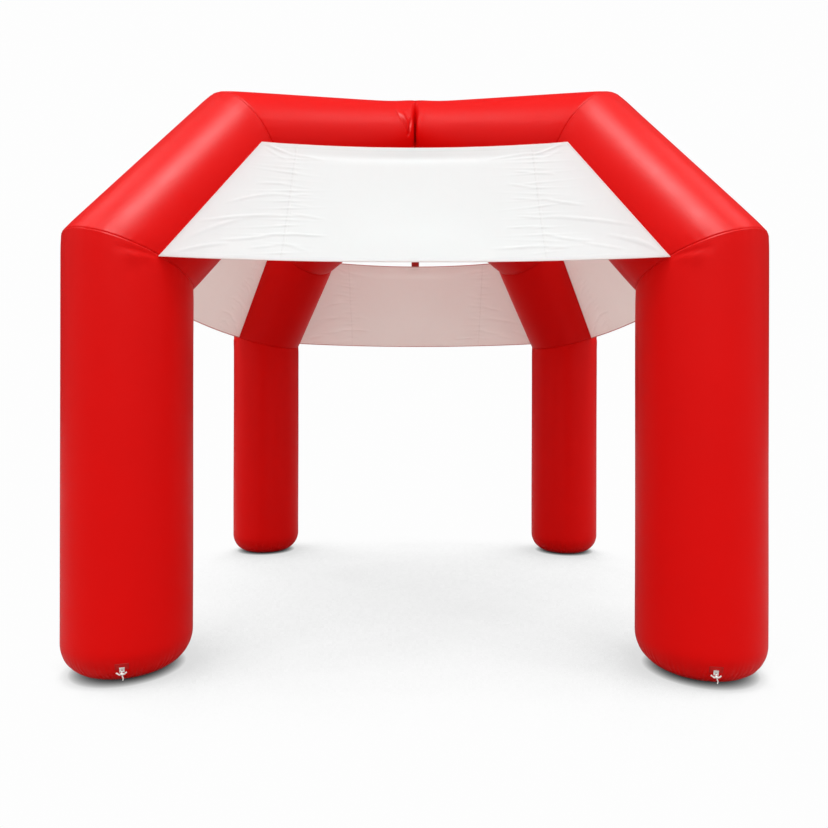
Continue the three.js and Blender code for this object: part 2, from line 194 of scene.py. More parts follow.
# The slit between two arms, in millimetres: its depth, its walls' rise for each millimetre along the arm, the
# softness of its lips, the dip beside it, how the skins swell towards the seam on top, and where creases are
# full. The slit fades below the arm's sides, over a share of the radius.
CROWN = {"slit": 60, "rise": 0.8, "lip": 7, "dip": 4, "dip_width": 60, "swell": 17, "swell_width": 210,
         "crease_full": 22, "fade": 0.3}

# Soft pulls that a banner's lower corner makes in a leg under the knee: degrees round from the corner, then
# millimetres below the seam, at both ends, then half width and height in millimetres
KNEE_FOLDS = [
    (-3, 16, 34, 62, 13, -4.0),
    (-3, 34, 36, 112, 20, 4.5),
    (-3, 44, 38, 172, 16, -4.5),
    (2, 40, -20, 190, 26, 2.0),
]

# A strap: how fast it narrows to its tip, its dish across in millimetres, and its thinner border, as a share
# of its thickness and a width in millimetres
STRAP_TAPER = 1.6
STRAP_DISH = 2.5
STRAP_BORDER = (0.4, 1.5)

# A patch: its thinner border in the same measures, then the trough under its stitches in millimetres: how
# deep, how far from the border, and its half width
PATCH_BORDER = (0.45, 1.2)
PATCH_TROUGH = (0.5, 4.5, 1.0)

# A tab: its rows as parts of the way from its hole to its outline, its thickness at both rims as a share of
# the full one, and the power by which that fades
TAB_PARTS = np.array([0, 0.06, 0.16, 0.35, 0.6, 0.84, 0.95, 1.0])
TAB_RIM = 0.55
TAB_RIM_FADE = 0.25

# A tie's knot in millimetres: how far out from the tab it sits, and half its depth, width and height. The
# wound tape shows as ridges, which wind round it, and as lumps, each with a count and a share of the size.
KNOT = {"out": 9, "depth": 6, "width": 9, "height": 6, "ridges": 2, "wind": 5, "ridge": 0.10, "lumps": 7,
        "lump": 0.05}

# Stretches of a tie's tape in millimetres: how its width lies, its width, and its points out from the tab,
# across it and up from the knot. They are the loop through the tab's hole, the two free ends and the tail.
TAPE_STRETCHES = [
    {"lies": (0, 1, 0), "width": 5, "out": (9, 7, 0, -6, 3, 9), "across": (0, 0, 0, 0, 0, 0),
     "up": (0, 9, 15, 6, -4, 0)},
    {"lies": (0, 0, 1), "width": 8, "out": (9, 11, 9, 7), "across": (0, -11, -20, -28), "up": (0, -2, 3, 8)},
    {"lies": (0, 0, 1), "width": 8, "out": (9, 11, 10, 8), "across": (0, 10, 18, 24), "up": (0, -1, 4, 8)},
    {"lies": (0, 1, 0), "width": 6, "out": (9, 10, 8, 7), "across": (2, 3, 7, 5), "up": (0, -12, -24, -36)},
]
# The tape's profile is squared off by a power, and its last rings draw in
TAPE_SQUARE = 0.55
TAPE_END = 0.8

# Fineness of the meshes. An arm's columns come in stretches of degrees from its outer side, with a count, and
# are close together where the crown creases it. A banner has a factor of its own in its row above.
TUBE_COLUMNS = 200
LEG_COLUMNS = 400
LEG_ARC_ROWS = 22
TUBE_MIDDLE_ROWS = 24
LEG_MIDDLE_ROWS = 30
SEAM_ROWS = np.array([0, 1, 2.2, 3.6, 5.4, 7.8, 11, 15, 21, 29, 40, 56, 78, 108]) * MM
CROWN_LIP_ROWS = [0, 3, 8, 15, 23, 31, 39, 46]
CROWN_ROWS = np.concatenate([CROWN_LIP_ROWS, np.arange(52, 112, 5), np.arange(112, 344, 8)]) * MM
ARM_STRETCHES = ((-25, 25, 20), (25, 115, 100), (115, 245, 52), (245, 335, 100))
CENTRE_COLUMNS = 90
GORE_COLUMNS = 42
BANNER_ROWS = 200
HEM_STATIONS = np.array([0, 1.5, 4, 9, 18, 27, 31, 33, 38]) * MM
SEAM_STATIONS = np.array([0, 1.5, 3.5, 5, 7, 10, 15, 22]) * MM
EDGE_STATIONS = np.array([0.018, 0.008, 0.003, 0])      # parts of a gore's width
GORE_SPREAD = 1.6                # a gore's stations beside the seam, against those of the centre width
STRAP_ROWS = 61
STRAP_COLUMNS = 15
PATCH_ROWS = 33
PATCH_COLUMNS = 57
TAB_RAYS = 96
KNOT_ROWS = 24
KNOT_COLUMNS = 40
TAPE_ROWS = 30
TAPE_COLUMNS = 20
FLOOR_POINTS = 9

# Finishes that every cloth shares: half the width and the height of a row of stitches in metres, each dash's
# share of its step, the detail of the patches of colour, how much finer the patches of roughness are, their
# detail, and the roughness of the sheen
STITCH_HALF = 0.0007
STITCH_HEIGHT = 0.0005
STITCH_DASH = 0.66
PATCH_DETAIL = 3.0
GRAIN_SCALE = 6
GRAIN_DETAIL = 2.0
SHEEN_ROUGHNESS = 0.4

# The floor: its height in metres, the scale and depth of its patches, its finish, and the rays for each
# shaded point
FLOOR_HEIGHT = -0.0005
FLOOR_PATCH = 0.6
FLOOR_DRIFT = 0.985
FLOOR_ROUGHNESS = 0.9
FLOOR_GLOSS = 0.1
SHADE_SAMPLES = 16


def lerp(start, end, part):
    """A place part of the way from one to another."""
    return start + (end - start) * part


def between(start, end, count):
    """Even steps from one place to another, without the two places."""
    return np.linspace(start, end, count + 2)[1:-1]


def bell(distance):
    """A bell curve: 1 at nought, falling to nothing on both sides."""
    return np.exp(-np.square(distance))


def arch(part):
    """A parabola: nought at both ends and 1 halfway."""
    return 4 * part * (1 - part)


def even_angles(columns):
    """Even steps of one full turn."""
    return np.linspace(0, 2 * math.pi, columns, endpoint=False)


def half_turned(angle):
    """An angle brought to less than half a turn either way."""
    return (angle + math.pi) % (2 * math.pi) - math.pi


def turned(points, degrees):
    """Points turned about the upright axis."""
    angle = math.radians(degrees)
    x = points[..., 0] * math.cos(angle) - points[..., 1] * math.sin(angle)
    y = points[..., 0] * math.sin(angle) + points[..., 1] * math.cos(angle)
    return np.stack([x, y, points[..., 2]], axis=-1)


def joined(*parts):
    """Points or pairs from arrays of their parts."""
    return np.stack(np.broadcast_arrays(*parts), axis=-1)


def thinned(thickness, border, share, width):
    """A sheet's thickness, less by a share in a bell of a width in millimetres at its border."""
    return thickness * (1 - share * bell(border / (width * MM)))


# Meshes from grids


def grid_quads(rows, columns, wrap_rows=False, wrap_columns=False):
    """The corners of each cell of a grid, along its columns first, as rows and columns before any wrap."""
    row, column = np.meshgrid(np.arange(rows if wrap_rows else rows - 1),
                              np.arange(columns if wrap_columns else columns - 1), indexing="ij")
    row_steps = np.stack([row, row, row + 1, row + 1], axis=-1).reshape(-1, 4)
    column_steps = np.stack([column, column + 1, column + 1, column], axis=-1).reshape(-1, 4)
    return row_steps, column_steps


def make_object(name, points, faces, smooth, materials, face_material=None, uv=None, attributes=None):
    """A mesh object at the origin from whole arrays: points, a list of face arrays, which of those are
    smooth, its materials with the number for each array, a UV pair for each face corner, and values for each
    point."""
    mesh = bpy.data.meshes.new(name)
    mesh.from_pydata(points.reshape(-1, 3), [], [face for part in faces for face in part.tolist()])
    counts = [len(part) for part in faces]
    mesh.polygons.foreach_set("use_smooth", np.repeat(np.array(smooth, bool), counts))
    for material in materials:
        mesh.materials.append(material)
    if face_material is not None:
        numbers = np.repeat(np.array(face_material, np.int32), counts)
        mesh.polygons.foreach_set("material_index", numbers)
    if uv is not None:
        layer = mesh.uv_layers.new(name="cloth")
        pairs = np.concatenate([part.reshape(-1) for part in uv])
        layer.data.foreach_set("uv", pairs.astype(np.float32))
    for key, values in (attributes or {}).items():
        attribute = mesh.attributes.new(key, "FLOAT", "POINT")
        attribute.data.foreach_set("value", values.reshape(-1).astype(np.float32))
    mesh.update()
    made = bpy.data.objects.new(name, mesh)
    bpy.context.scene.collection.objects.link(made)
    return made


def shell_faces(rows, columns, first=0):
    """The faces of a closed tube whose rings start at a point number, with its two middle points after them:
    the walls, and a fan at each end."""
    row, column = grid_quads(rows, columns, wrap_columns=True)
    here = np.arange(columns)
    after = (here + 1) % columns
    last = (rows - 1) * columns
    pole = rows * columns
    start = np.stack([np.full(columns, pole), after, here], axis=-1)
    end = np.stack([np.full(columns, pole + 1), last + here, last + after], axis=-1)
    return [part + first for part in (row * columns + column % columns, start, end)]


def closed_tube(name, rings, poles, uv, attributes, material):
    """A closed tube: rings of points joined all round, and each end closed by a fan to a middle point."""
    rows, columns = rings.shape[:2]
    points = np.concatenate([rings.reshape(-1, 3), poles])
    wall_uv = uv[grid_quads(rows, columns, wrap_columns=True)]
    fan_uv = np.zeros((columns, 3, 2))
    padded = {key: np.append(values, [0.0, 0.0]) for key, values in attributes.items()}
    return make_object(name, points, shell_faces(rows, columns), [True, False, False], [material],
                       uv=[wall_uv, fan_uv, fan_uv], attributes=padded)


def closed_sheet(name, middle, thickness, materials, uv, attributes):
    """A thin closed sheet: a grid of points moved half its thickness out and half in, square to its surface,
    with a rim round the four edges. Columns run across, rows run down, and the first material is outside."""
    rows, columns = middle.shape[:2]
    count = rows * columns
    normal = np.cross(np.gradient(middle, axis=0), np.gradient(middle, axis=1))
    normal /= np.linalg.norm(normal, axis=-1, keepdims=True)
    offset = normal * 0.5 * thickness[..., None]
    row, column = grid_quads(rows, columns)
    quads = row * columns + column
    index = np.arange(count).reshape(rows, columns)
    loop = np.concatenate([index[0, :-1], index[:-1, -1], index[-1, :0:-1], index[:0:-1, 0]])
    following = np.roll(loop, -1)
    rim = np.stack([loop, following, following + count, loop + count], axis=-1)
    quad_uv = uv[row, column]
    both = {key: np.tile(values.reshape(-1), 2) for key, values in attributes.items()}
    return make_object(name, np.concatenate([middle + offset, middle - offset]),
                       [quads[:, ::-1], quads + count, rim], [True, True, False], materials,
                       face_material=[0, len(materials) - 1, 0],
                       uv=[quad_uv[:, ::-1], quad_uv, uv.reshape(-1, 2)[rim % count]], attributes=both)


# Materials


def feed(tree, node, inputs):
    """Each input of a node linked to another node's output or set to a value."""
    for key, value in inputs.items():
        if isinstance(value, bpy.types.NodeSocket):
            tree.links.new(value, node.inputs[key])
        else:
            node.inputs[key].default_value = value


def put(tree, kind, inputs=None, **settings):
    """A new node with its settings made and its inputs fed."""
    made = tree.nodes.new(kind)
    for name, value in settings.items():
        setattr(made, name, value)
    feed(tree, made, inputs or {})
    return made


def sum_of(tree, operation, first, second=0.0, third=0.0):
    """The result of one Math node."""
    return put(tree, "ShaderNodeMath", {0: first, 1: second, 2: third}, operation=operation).outputs[0]


def blend(tree, part, first, second):
    """A mix of two colours, each a node's output or a plain red, green and blue."""
    first, second = (end if isinstance(end, bpy.types.NodeSocket) else (*end, 1) for end in (first, second))
    return put(tree, "ShaderNodeMix", {0: part, 6: first, 7: second}, data_type="RGBA").outputs[2]


def shared(tree, part, first, second):
    """A mix of two shaders."""
    return put(tree, "ShaderNodeMixShader", {0: part, 1: first.outputs[0], 2: second.outputs[0]})


def blank_material(name):
    """A new material with a shader and its output."""
    material = bpy.data.materials.new(name)
    material.use_nodes = True
    tree = material.node_tree
    tree.nodes.clear()
    shader = put(tree, "ShaderNodeBsdfPrincipled")
    output = put(tree, "ShaderNodeOutputMaterial", {"Surface": shader.outputs[0]})
    return material, tree, shader, output


def cloud(tree, scale, detail):
    """Soft uneven patches over the object, from 0 to 1."""
    place = put(tree, "ShaderNodeTexCoord").outputs["Object"]
    return put(tree, "ShaderNodeTexNoise", {"Vector": place, "Scale": scale, "Detail": detail}).outputs["Fac"]


def distance_to(tree, key):
    """The distance to a seam, a hem or a border, as the mesh carries it."""
    return put(tree, "ShaderNodeAttribute", attribute_name=key).outputs["Fac"]


def weave(tree, along, up, thread):
    """Plain weave: the product of two waves across each other, a thread wide, from -1 to 1."""
    waves = [sum_of(tree, "SINE", sum_of(tree, "MULTIPLY", way, math.pi / thread)) for way in (along, up)]
    return sum_of(tree, "MULTIPLY", *waves)


def stitches(tree, distance, along, offset, length):
    """A row of stitches: 1 inside each dash, at an offset from a seam or an edge, else 0."""
    away = sum_of(tree, "ABSOLUTE", sum_of(tree, "SUBTRACT", distance, offset))
    in_row = sum_of(tree, "LESS_THAN", away, STITCH_HALF)
    step = sum_of(tree, "FRACT", sum_of(tree, "MULTIPLY", along, 1 / length))
    return sum_of(tree, "MULTIPLY", in_row, sum_of(tree, "LESS_THAN", step, STITCH_DASH))


def cloth_material(name, colour, shade, *, patch, thread, thread_height, relief, smooth, rough, gloss,
                   stitch, stitch_shade, rows=(), edge=None, sheen=0.0, through=0.0):
    """A sewn, woven cloth. Its colour drifts between two shades in soft patches, and each row of stitches has
    its own shade. Weave and stitches stand up from it, and its roughness drifts a little. A row of stitches
    names the distance that it follows, its offset, its step and its way. An edge is a band in another tint.
    A share of the light goes through a thin cloth."""
    if name in bpy.data.materials:
        return bpy.data.materials[name]
    material, tree, shader, output = blank_material(name)
    uv = put(tree, "ShaderNodeSeparateXYZ", {0: put(tree, "ShaderNodeUVMap", uv_map="cloth").outputs[0]})
    ways = {"along": uv.outputs[0], "up": uv.outputs[1]}
    body = blend(tree, cloud(tree, patch, PATCH_DETAIL), shade, colour)
    height = sum_of(tree, "MULTIPLY", weave(tree, ways["along"], ways["up"], thread), thread_height)
    for key, offset, step, way in rows:
        dash = stitches(tree, distance_to(tree, key), ways[way], offset, step)
        body = blend(tree, sum_of(tree, "MULTIPLY", dash, stitch_shade), body, stitch)
        height = sum_of(tree, "MULTIPLY_ADD", dash, STITCH_HEIGHT, height)
    if edge:
        key, width, tint = edge
        body = blend(tree, sum_of(tree, "LESS_THAN", distance_to(tree, key), width), body, tint)
    patches = cloud(tree, patch * GRAIN_SCALE, GRAIN_DETAIL)
    grain = put(tree, "ShaderNodeMapRange", {0: patches, 3: smooth, 4: rough}).outputs[0]
    bumps = put(tree, "ShaderNodeBump", {"Height": height, "Distance": 1.0, "Strength": relief}).outputs[0]
    feed(tree, shader, {"Base Color": body, "Roughness": grain, "Normal": bumps, "Specular IOR Level": gloss,
                        "Sheen Weight": sheen, "Sheen Roughness": SHEEN_ROUGHNESS})
    if through:
        thin = put(tree, "ShaderNodeBsdfTranslucent", {"Color": body, "Normal": bumps})
        feed(tree, output, {"Surface": shared(tree, through, shader, thin).outputs[0]})
    return material


def tube_material(finish):
    """Coated satin skin with a stitched line beside each seam."""
    return cloth_material(
        "coated_red_skin", finish.tube_colour, finish.tube_shade, patch=1.4, thread=0.0011,
        thread_height=0.00012, relief=0.25, smooth=0.36, rough=0.46, gloss=finish.tube_gloss,
        stitch=(0.30, 0.004, 0.003), stitch_shade=0.5, rows=[("seam", 0.009, 0.006, "along")])


def banner_materials(finish):
    """The thin matt cloth's outside and its inside, whose pink colour is painted bounce light from the red
    tubes.
    """
    recipe = dict(patch=2.2, thread=0.0007, thread_height=0.0001, relief=0.3, smooth=0.78, rough=0.9,
                  gloss=0.2, stitch_shade=0.35, through=finish.banner_through,
                  rows=[("hem", 0.028, 0.005, "along"), ("seam", 0.004, 0.005, "up")])
    outside = cloth_material("banner_outside", finish.banner_colour, finish.banner_shade,
                             stitch=(0.7, 0.7, 0.69), edge=("border", 0.006, (0.95, 0.95, 0.94)), **recipe)
    # The inside's pink colour is painted bounce light from the red tubes.
    inside = cloth_material("banner_inside_painted_bounce", finish.painted_bounce_inside_colour, finish.painted_bounce_inside_shade,
                            stitch=(0.5, 0.3, 0.28), edge=("border", 0.009, (0.62, 0.26, 0.23)), **recipe)
    return [outside, inside]


def strap_material(finish):
    """Satin woven strap, stitched along its edges."""
    return cloth_material(
        "strap_red", finish.strap_colour, finish.strap_shade, patch=5.0, thread=0.0013, thread_height=0.0002,
        relief=0.4, smooth=0.55, rough=0.68, gloss=0.15, sheen=0.1, stitch=(0.2, 0.003, 0.003),
        stitch_shade=0.6, rows=[("border", 0.006, 0.005, "up")])


def patch_material(finish):
    """Coated patch with a darker cut edge, stitched all round."""
    return cloth_material(
        "patch_red", finish.patch_colour, finish.patch_shade, patch=14.0, thread=0.0011,
        thread_height=0.00015, relief=0.3, smooth=0.42, rough=0.55, gloss=0.15, stitch=(0.16, 0.003, 0.002),
        stitch_shade=0.4, rows=[("border", 0.0045, 0.004, "along")],
        edge=("border", 0.0016, (0.40, 0.006, 0.004)))


def webbing_material(finish):
    """Matt ribbed webbing."""
    return cloth_material(
        "webbing_white", finish.webbing_colour, finish.webbing_shade, patch=25.0, thread=0.0012,
        thread_height=0.0003, relief=0.6, smooth=0.8, rough=0.95, gloss=0.2, sheen=0.15,
        stitch=(0.6, 0.58, 0.55), stitch_shade=0.4)


# Tubes. A corner is drawn in its own upright plane: the distance out along the diagonal, then the height.


def axis(start, end):
    """A tube's line in the corner's plane, with the unit ways along it and to its outer side."""
    length = float(np.linalg.norm(end - start))
    along = (end - start) / length
    return {"start": start, "along": along, "outer": np.array([along[1], -along[0]]), "length": length}


def corner_axes(sizes):
    """The straight lines from foot to knee, from knee to shoulder and from shoulder to crown."""
    foot = np.array([sizes.leg_offset * ROOT2, 0.0])
    knee = np.array([sizes.leg_offset * ROOT2, sizes.knee_height])
    shoulder = np.array([sizes.shoulder_offset * ROOT2, sizes.shoulder_height])
    crown = np.array([0.0, sizes.crown_height])
    return {"leg": axis(foot, knee), "rafter": axis(knee, shoulder), "arm": axis(shoulder, crown)}


def seam_slide(tube, neighbour, gap):
    """How far along its axis each point of a tube's end slides to lie in the plane that halves the bend."""
    slope = -(tube["outer"] @ neighbour["along"]) / (1 + tube["along"] @ neighbour["along"])
    shift = gap * math.hypot(1, slope)
    return lambda outer, side: slope * outer + shift


def crown_slide(tube, gap):
    """How far each point of an arm's end slides to lie in the two upright planes between it and its
    neighbours."""
    return lambda outer, side: (outer * tube["outer"][0] - np.abs(side) - gap * ROOT2) / -tube["along"][0]


def round_axis(radius, angle):
    """How far to its outer side and how far sideways from a tube's axis."""
    return radius * np.cos(angle), radius * np.sin(angle)


def in_corner(tube, outer, side, along):
    """Points from a tube's own measures to the corner's: out along the diagonal, sideways, and up."""
    out, up = (tube["start"][k] + outer * tube["outer"][k] + along * tube["along"][k] for k in (0, 1))
    return joined(out, side, up)


def tube_uv(radius, angle, along):
    """Metres round the tube and metres along it, with one column more than the rings have."""
    around = radius * np.append(angle, angle[0] + 2 * math.pi)
    return joined(around, np.concatenate([along, along[:, :1]], axis=1))


def slanted_tube(tube, radius, angle, seam_rows, slides, relief):
    """A tube between two slanted seams. At each angle a point stands the radius and the relief out from the
    axis. Rows start close together at one seam, run evenly, and close up again at the other."""
    far = np.full(len(angle), tube["length"])
    near = np.zeros(len(angle))
    start = slides[0](*round_axis(radius + relief(angle, near, far), angle))
    end = tube["length"] + slides[1](*round_axis(radius + relief(angle, far, near), angle))
    lower = start + seam_rows[0][:, None]
    upper = end - seam_rows[1][::-1, None]
    along = np.concatenate([lower, between(lower[-1], upper[0], TUBE_MIDDLE_ROWS), upper])
    reach = radius + relief(angle, along - start, end - along)
    rings = in_corner(tube, *round_axis(reach, angle), along)
    poles = [in_corner(tube, 0.0, 0.0, offset + slide(0.0, 0.0))
             for offset, slide in zip((0.0, tube["length"]), slides)]
    seam = np.minimum(along - start, end - along)
    return rings, poles, tube_uv(radius, angle, along), {"seam": seam}


def stand(part, name, rings, poles, uv, attributes, material):
    """A tube's skin, turned to its corner."""
    turn = CORNERS[name]["turn"]
    return closed_tube(f"{part}_skin_{name}", turned(rings, turn), turned(np.array(poles), turn), uv,
                       attributes, material)


def seam_relief(distance, angle, seam, phase):
    """A sewn seam: a narrow groove at the stitches, a wide soft dip to both sides of it, both bells, and
    small puckers that die out away from it."""
    groove = -seam["groove"] * bell(distance / (SEAM["groove_width"] * MM))
    dip = -seam["dip"] * bell(distance / (SEAM["dip_width"] * MM))
    second = np.cos((seam["puckers"] - SEAM["fewer"]) * angle + SEAM["shift"] * phase)
    ripple = np.cos(seam["puckers"] * angle + phase) + SEAM["second"] * second
    fade = np.exp(-distance / (SEAM["reach"] * MM)) * (distance > SEAM["start"] * MM)
    return (groove + dip + SEAM["pucker"] * ripple * fade) * MM


def crown_relief(distance, angle):
    """The slit between two arms: a wall that rises evenly from the seam and rounds off at a soft lip, with a
    dip beside it, deepest at the arm's sides and gone on its underside. On top the skin swells towards the
    seam."""
    top = np.clip(np.cos(angle), 0, 1) ** 2
    under = np.clip(-np.cos(angle), 0, 1)
    depth = np.abs(np.sin(angle)) ** 2 * bell(under / CROWN["fade"])
    wall = CROWN["slit"] * depth - CROWN["rise"] * distance / MM
    slit = -CROWN["lip"] * depth * np.logaddexp(0, wall / CROWN["lip"])
    dip = -CROWN["dip"] * depth * bell(distance / (CROWN["dip_width"] * MM))
    swell = CROWN["swell"] * top * bell(distance / (CROWN["swell_width"] * MM))
    return (slit + dip + swell) * MM


def tube_fold(angle, distance, radius, fold):
    """A soft crease on a tube: a bell across the straight line between two places, given by angle and by
    distance from a seam, that fades at both ends."""
    from_angle, from_distance, to_angle, to_distance, spread, height = fold
    start = np.array([math.radians(from_angle) * radius, from_distance * MM])
    run = np.array([math.radians(to_angle) * radius, to_distance * MM]) - start
    length = np.linalg.norm(run)
    around = half_turned(angle) * radius - start[0]
    beyond = distance - start[1]
    along = (around * run[0] + beyond * run[1]) / length ** 2
    away = (around * run[1] - beyond * run[0]) / length
    fade = np.sin(math.pi * np.clip(along, 0, 1)) ** TUBE_FOLD_FADE
    return height * MM * fade * bell(away / (spread * MM))


def unevenness(angle, along, ease, phase):
    """The slow waviness of a blown-up skin, a sum of waves that go round it on the slant."""
    waves = sum(np.sin(turns * angle + rate * along + share * phase) for turns, rate, share in SKIN_WAVES)
    return SKIN_WAVE * MM * waves * np.clip(ease, 0, 1)


def make_rafter(sizes, axes, name, phase, material):
    """A rafter: a tube with relief at the knee seam and the shoulder seam."""
    tube = axes["rafter"]
    gap = sizes.seam_gap / 2
    slides = (seam_slide(tube, axes["leg"], gap), seam_slide(tube, axes["arm"], -gap))

    def relief(angle, from_start, from_end):
        knee = seam_relief(from_start, angle, KNEE_SEAM, phase)
        shoulder = seam_relief(from_end, angle, SHOULDER_SEAM, phase + 1)
        ease = np.minimum(from_start, from_end) / TUBE_EASE
        return knee + shoulder + unevenness(angle, from_start, ease, phase)

    skin = slanted_tube(tube, sizes.tube_radius, even_angles(TUBE_COLUMNS), (SEAM_ROWS, SEAM_ROWS), slides,
                        relief)
    return stand("rafter", name, *skin, material)


def make_arm(sizes, axes, name, phase, material):
    """An arm: a tube with relief at the shoulder seam and at the crown, and its own creases there."""
    tube = axes["arm"]
    gap = sizes.seam_gap / 2
    slides = (seam_slide(tube, axes["rafter"], gap), crown_slide(tube, gap))

    def relief(angle, from_start, from_end):
        shoulder = seam_relief(from_start, angle, SHOULDER_SEAM, phase + 1)
        creases = sum(tube_fold(angle, from_end, sizes.tube_radius, fold) for fold in CROWN_FOLDS[name])
        creases = creases * np.clip(from_end / (CROWN["crease_full"] * MM), 0, 1)
        ease = np.minimum(from_start, from_end) / TUBE_EASE
        skin = unevenness(angle, from_start, ease, phase)
        return shoulder + crown_relief(from_end, angle) + creases + skin

    angle = np.radians(np.concatenate([np.linspace(first, last, count, endpoint=False)
                                       for first, last, count in ARM_STRETCHES]))
    skin = slanted_tube(tube, sizes.tube_radius, angle, (SEAM_ROWS, CROWN_ROWS), slides, relief)
    return stand("arm", name, *skin, material)


def base_gathers(angle, height, tie_angle):
    """Small upright gathers round a leg's base, a sum of waves. They fade upwards and under the patch."""
    ripple = sum(share * np.cos(count * angle + phase) for count, share, phase in GATHER_WAVES)
    level = height / MM
    fade = bell((level - GATHERS["place"]) / GATHERS["reach"]) * np.clip(level / GATHERS["full"], 0, 1)
    flat = bell(half_turned(angle - tie_angle) / GATHERS["flat"])
    return GATHERS["height"] * MM * ripple * fade * (1 - flat)


def make_leg(sizes, axes, name, phase, material):
    """A leg: a flat base, a quarter round, then a straight wall up to the slanted knee seam. Relief stands
    square to that outline."""
    tube = axes["leg"]
    radius = sizes.tube_radius
    rounding = sizes.base_rounding
    slide = seam_slide(tube, axes["rafter"], -sizes.seam_gap / 2)
    angle = even_angles(LEG_COLUMNS)
    tie_angle = math.radians(CORNERS[name]["tie"])
    pulls = [(side * (90 - from_turn), from_below, side * (90 - to_turn), to_below, spread, rise)
             for side in (-1, 1) for from_turn, from_below, to_turn, to_below, spread, rise in KNEE_FOLDS]

    def relief(height, below_seam):
        seam = seam_relief(below_seam, angle, KNEE_SEAM, phase)
        gathers = base_gathers(angle, height, tie_angle)
        folds = sum(tube_fold(angle, below_seam, radius, pull) for pull in pulls)
        ease = np.minimum(height - rounding, below_seam) / LEG_EASE
        return seam + gathers + folds + unevenness(angle, height, ease, phase)

    far = np.full(LEG_COLUMNS, tube["length"])
    top_radius = radius + relief(far, np.zeros(LEG_COLUMNS))
    top = tube["length"] + slide(*round_axis(top_radius, angle))
    turn = np.linspace(0, math.pi / 2, LEG_ARC_ROWS)[:, None]
    arc_height = np.broadcast_to(rounding * (1 - np.cos(turn)), (LEG_ARC_ROWS, LEG_COLUMNS))
    arc_reach = radius - rounding + rounding * np.sin(turn)
    upper = top - SEAM_ROWS[::-1, None]
    wall_height = np.concatenate([between(np.full(LEG_COLUMNS, rounding), upper[0], LEG_MIDDLE_ROWS), upper])
    arc_relief = relief(arc_height, top - arc_height)
    wall_relief = relief(wall_height, top - wall_height)
    reach = np.concatenate([arc_reach + arc_relief * np.sin(turn), radius + wall_relief])
    height = np.concatenate([arc_height - arc_relief * np.cos(turn), wall_height])
    rings = in_corner(tube, *round_axis(reach, angle), height)
    poles = [in_corner(tube, 0.0, 0.0, along) for along in (0.0, tube["length"] + slide(0.0, 0.0))]
    seam = np.maximum(top - height, 0)
    return stand("leg", name, rings, poles, tube_uv(radius, angle, height), {"seam": seam}, material)


# Banners. A side is drawn facing -Y, and its slanted edges follow the outer side lines of the rafters.


def banner_plane(sizes, banner):
    """The middle of a banner's top edge, half its widths at the top and the bottom, the unit way down it, the
    way out of it, and its drop."""
    rafter = corner_axes(sizes)["rafter"]

    def corner(part, dip):
        place = rafter["start"] + rafter["along"] * rafter["length"] * part
        place = place - rafter["outer"] * sizes.tube_radius * math.sin(dip)
        side = sizes.tube_radius * math.cos(dip)
        return np.array([(place[0] - side) / ROOT2, (-place[0] - side) / ROOT2, place[1]])

    top = corner(banner.top, 0.0)
    bottom = corner(0.0, banner.dip)
    run = np.array([0.0, bottom[1] - top[1], bottom[2] - top[2]])
    drop = float(np.linalg.norm(run))
    down = run / drop
    return {"middle": top[1:], "top": top[0] - banner.edge_gap, "bottom": bottom[0] - banner.edge_gap,
            "down": down, "out": np.array([0.0, down[2], -down[1]]), "drop": drop}


def cloth_fold(across, down, fold):
    """Height of one fold: a bell across a bowed line, fading at both ends."""
    from_across, from_down, to_across, to_down, bow, spread, height = fold
    part = (across / MM - from_across) / (to_across - from_across)
    inside = np.clip(part, 0, 1)
    line = lerp(from_down, to_down, inside) + bow * arch(inside)
    lean = math.hypot(to_across - from_across, to_down - from_down) / abs(to_across - from_across)
    fade = np.sin(math.pi * inside) ** CLOTH_FOLD_FADE
    return height * MM * fade * bell((down / MM - line) / (spread * lean))


def seam_puckers(across, down, seam, hand):
    """Small puckers that cross the two seams, each a bell down the cloth that dies out away from the seam.
    Their heights and lengths come from one fixed draw."""
    draw = np.random.default_rng(PUCKER_SEED)
    total = np.zeros(np.broadcast(across, down).shape)
    for sign, places in SEAM_PUCKERS.items():
        away = hand * across - sign * seam
        for place in places:
            inward, outward, slope, rise = draw.uniform(PUCKER_LEAST, PUCKER_MOST)
            length = np.where(sign * away > 0, outward, inward) * MM
            centre = down - place * MM - slope * away
            total += rise * MM * bell(centre / (PUCKER_WIDTH * MM)) * np.exp(-np.abs(away) / length)
    return total


def banner_surface(sizes, banner, side, across, down):
    """The cloth's middle surface: a slanted plane whose top and bottom edges sag, with a belly, a trough
    under the top hem, the main folds, the fine folds and the seams' puckers. All fade to nothing at the
    slanted edges."""
    plane = banner_plane(sizes, banner)
    part = down / plane["drop"]
    half = lerp(plane["top"], plane["bottom"], part)
    slack = 1 - np.minimum((across / half) ** 2, 1)
    sag = slack * lerp(banner.top_sag, banner.bottom_sag, part)
    trough = side["trough"] * bell((down / MM - TROUGH_PLACE) / TROUGH_WIDTH)
    out = -MM * slack * (side["belly"] * (BELLY_EDGE + np.sin(math.pi * part)) + trough)
    handed = side["hand"] * across
    main = sum(cloth_fold(handed, down, fold) for fold in MAIN_FOLDS)
    fine = sum(cloth_fold(handed, down, fold) for fold in FINE_FOLDS)
    fine = fine + seam_puckers(across, down, banner.seam, side["hand"])
    held = np.clip((half - np.abs(across)) / (HELD_WIDTH * MM), 0, 1)
    out = out + side["folds"] * slack * main + side["fine"] * held * fine
    return (joined(across, *plane["middle"]) + (down + sag)[..., None] * plane["down"]
            + out[..., None] * plane["out"])


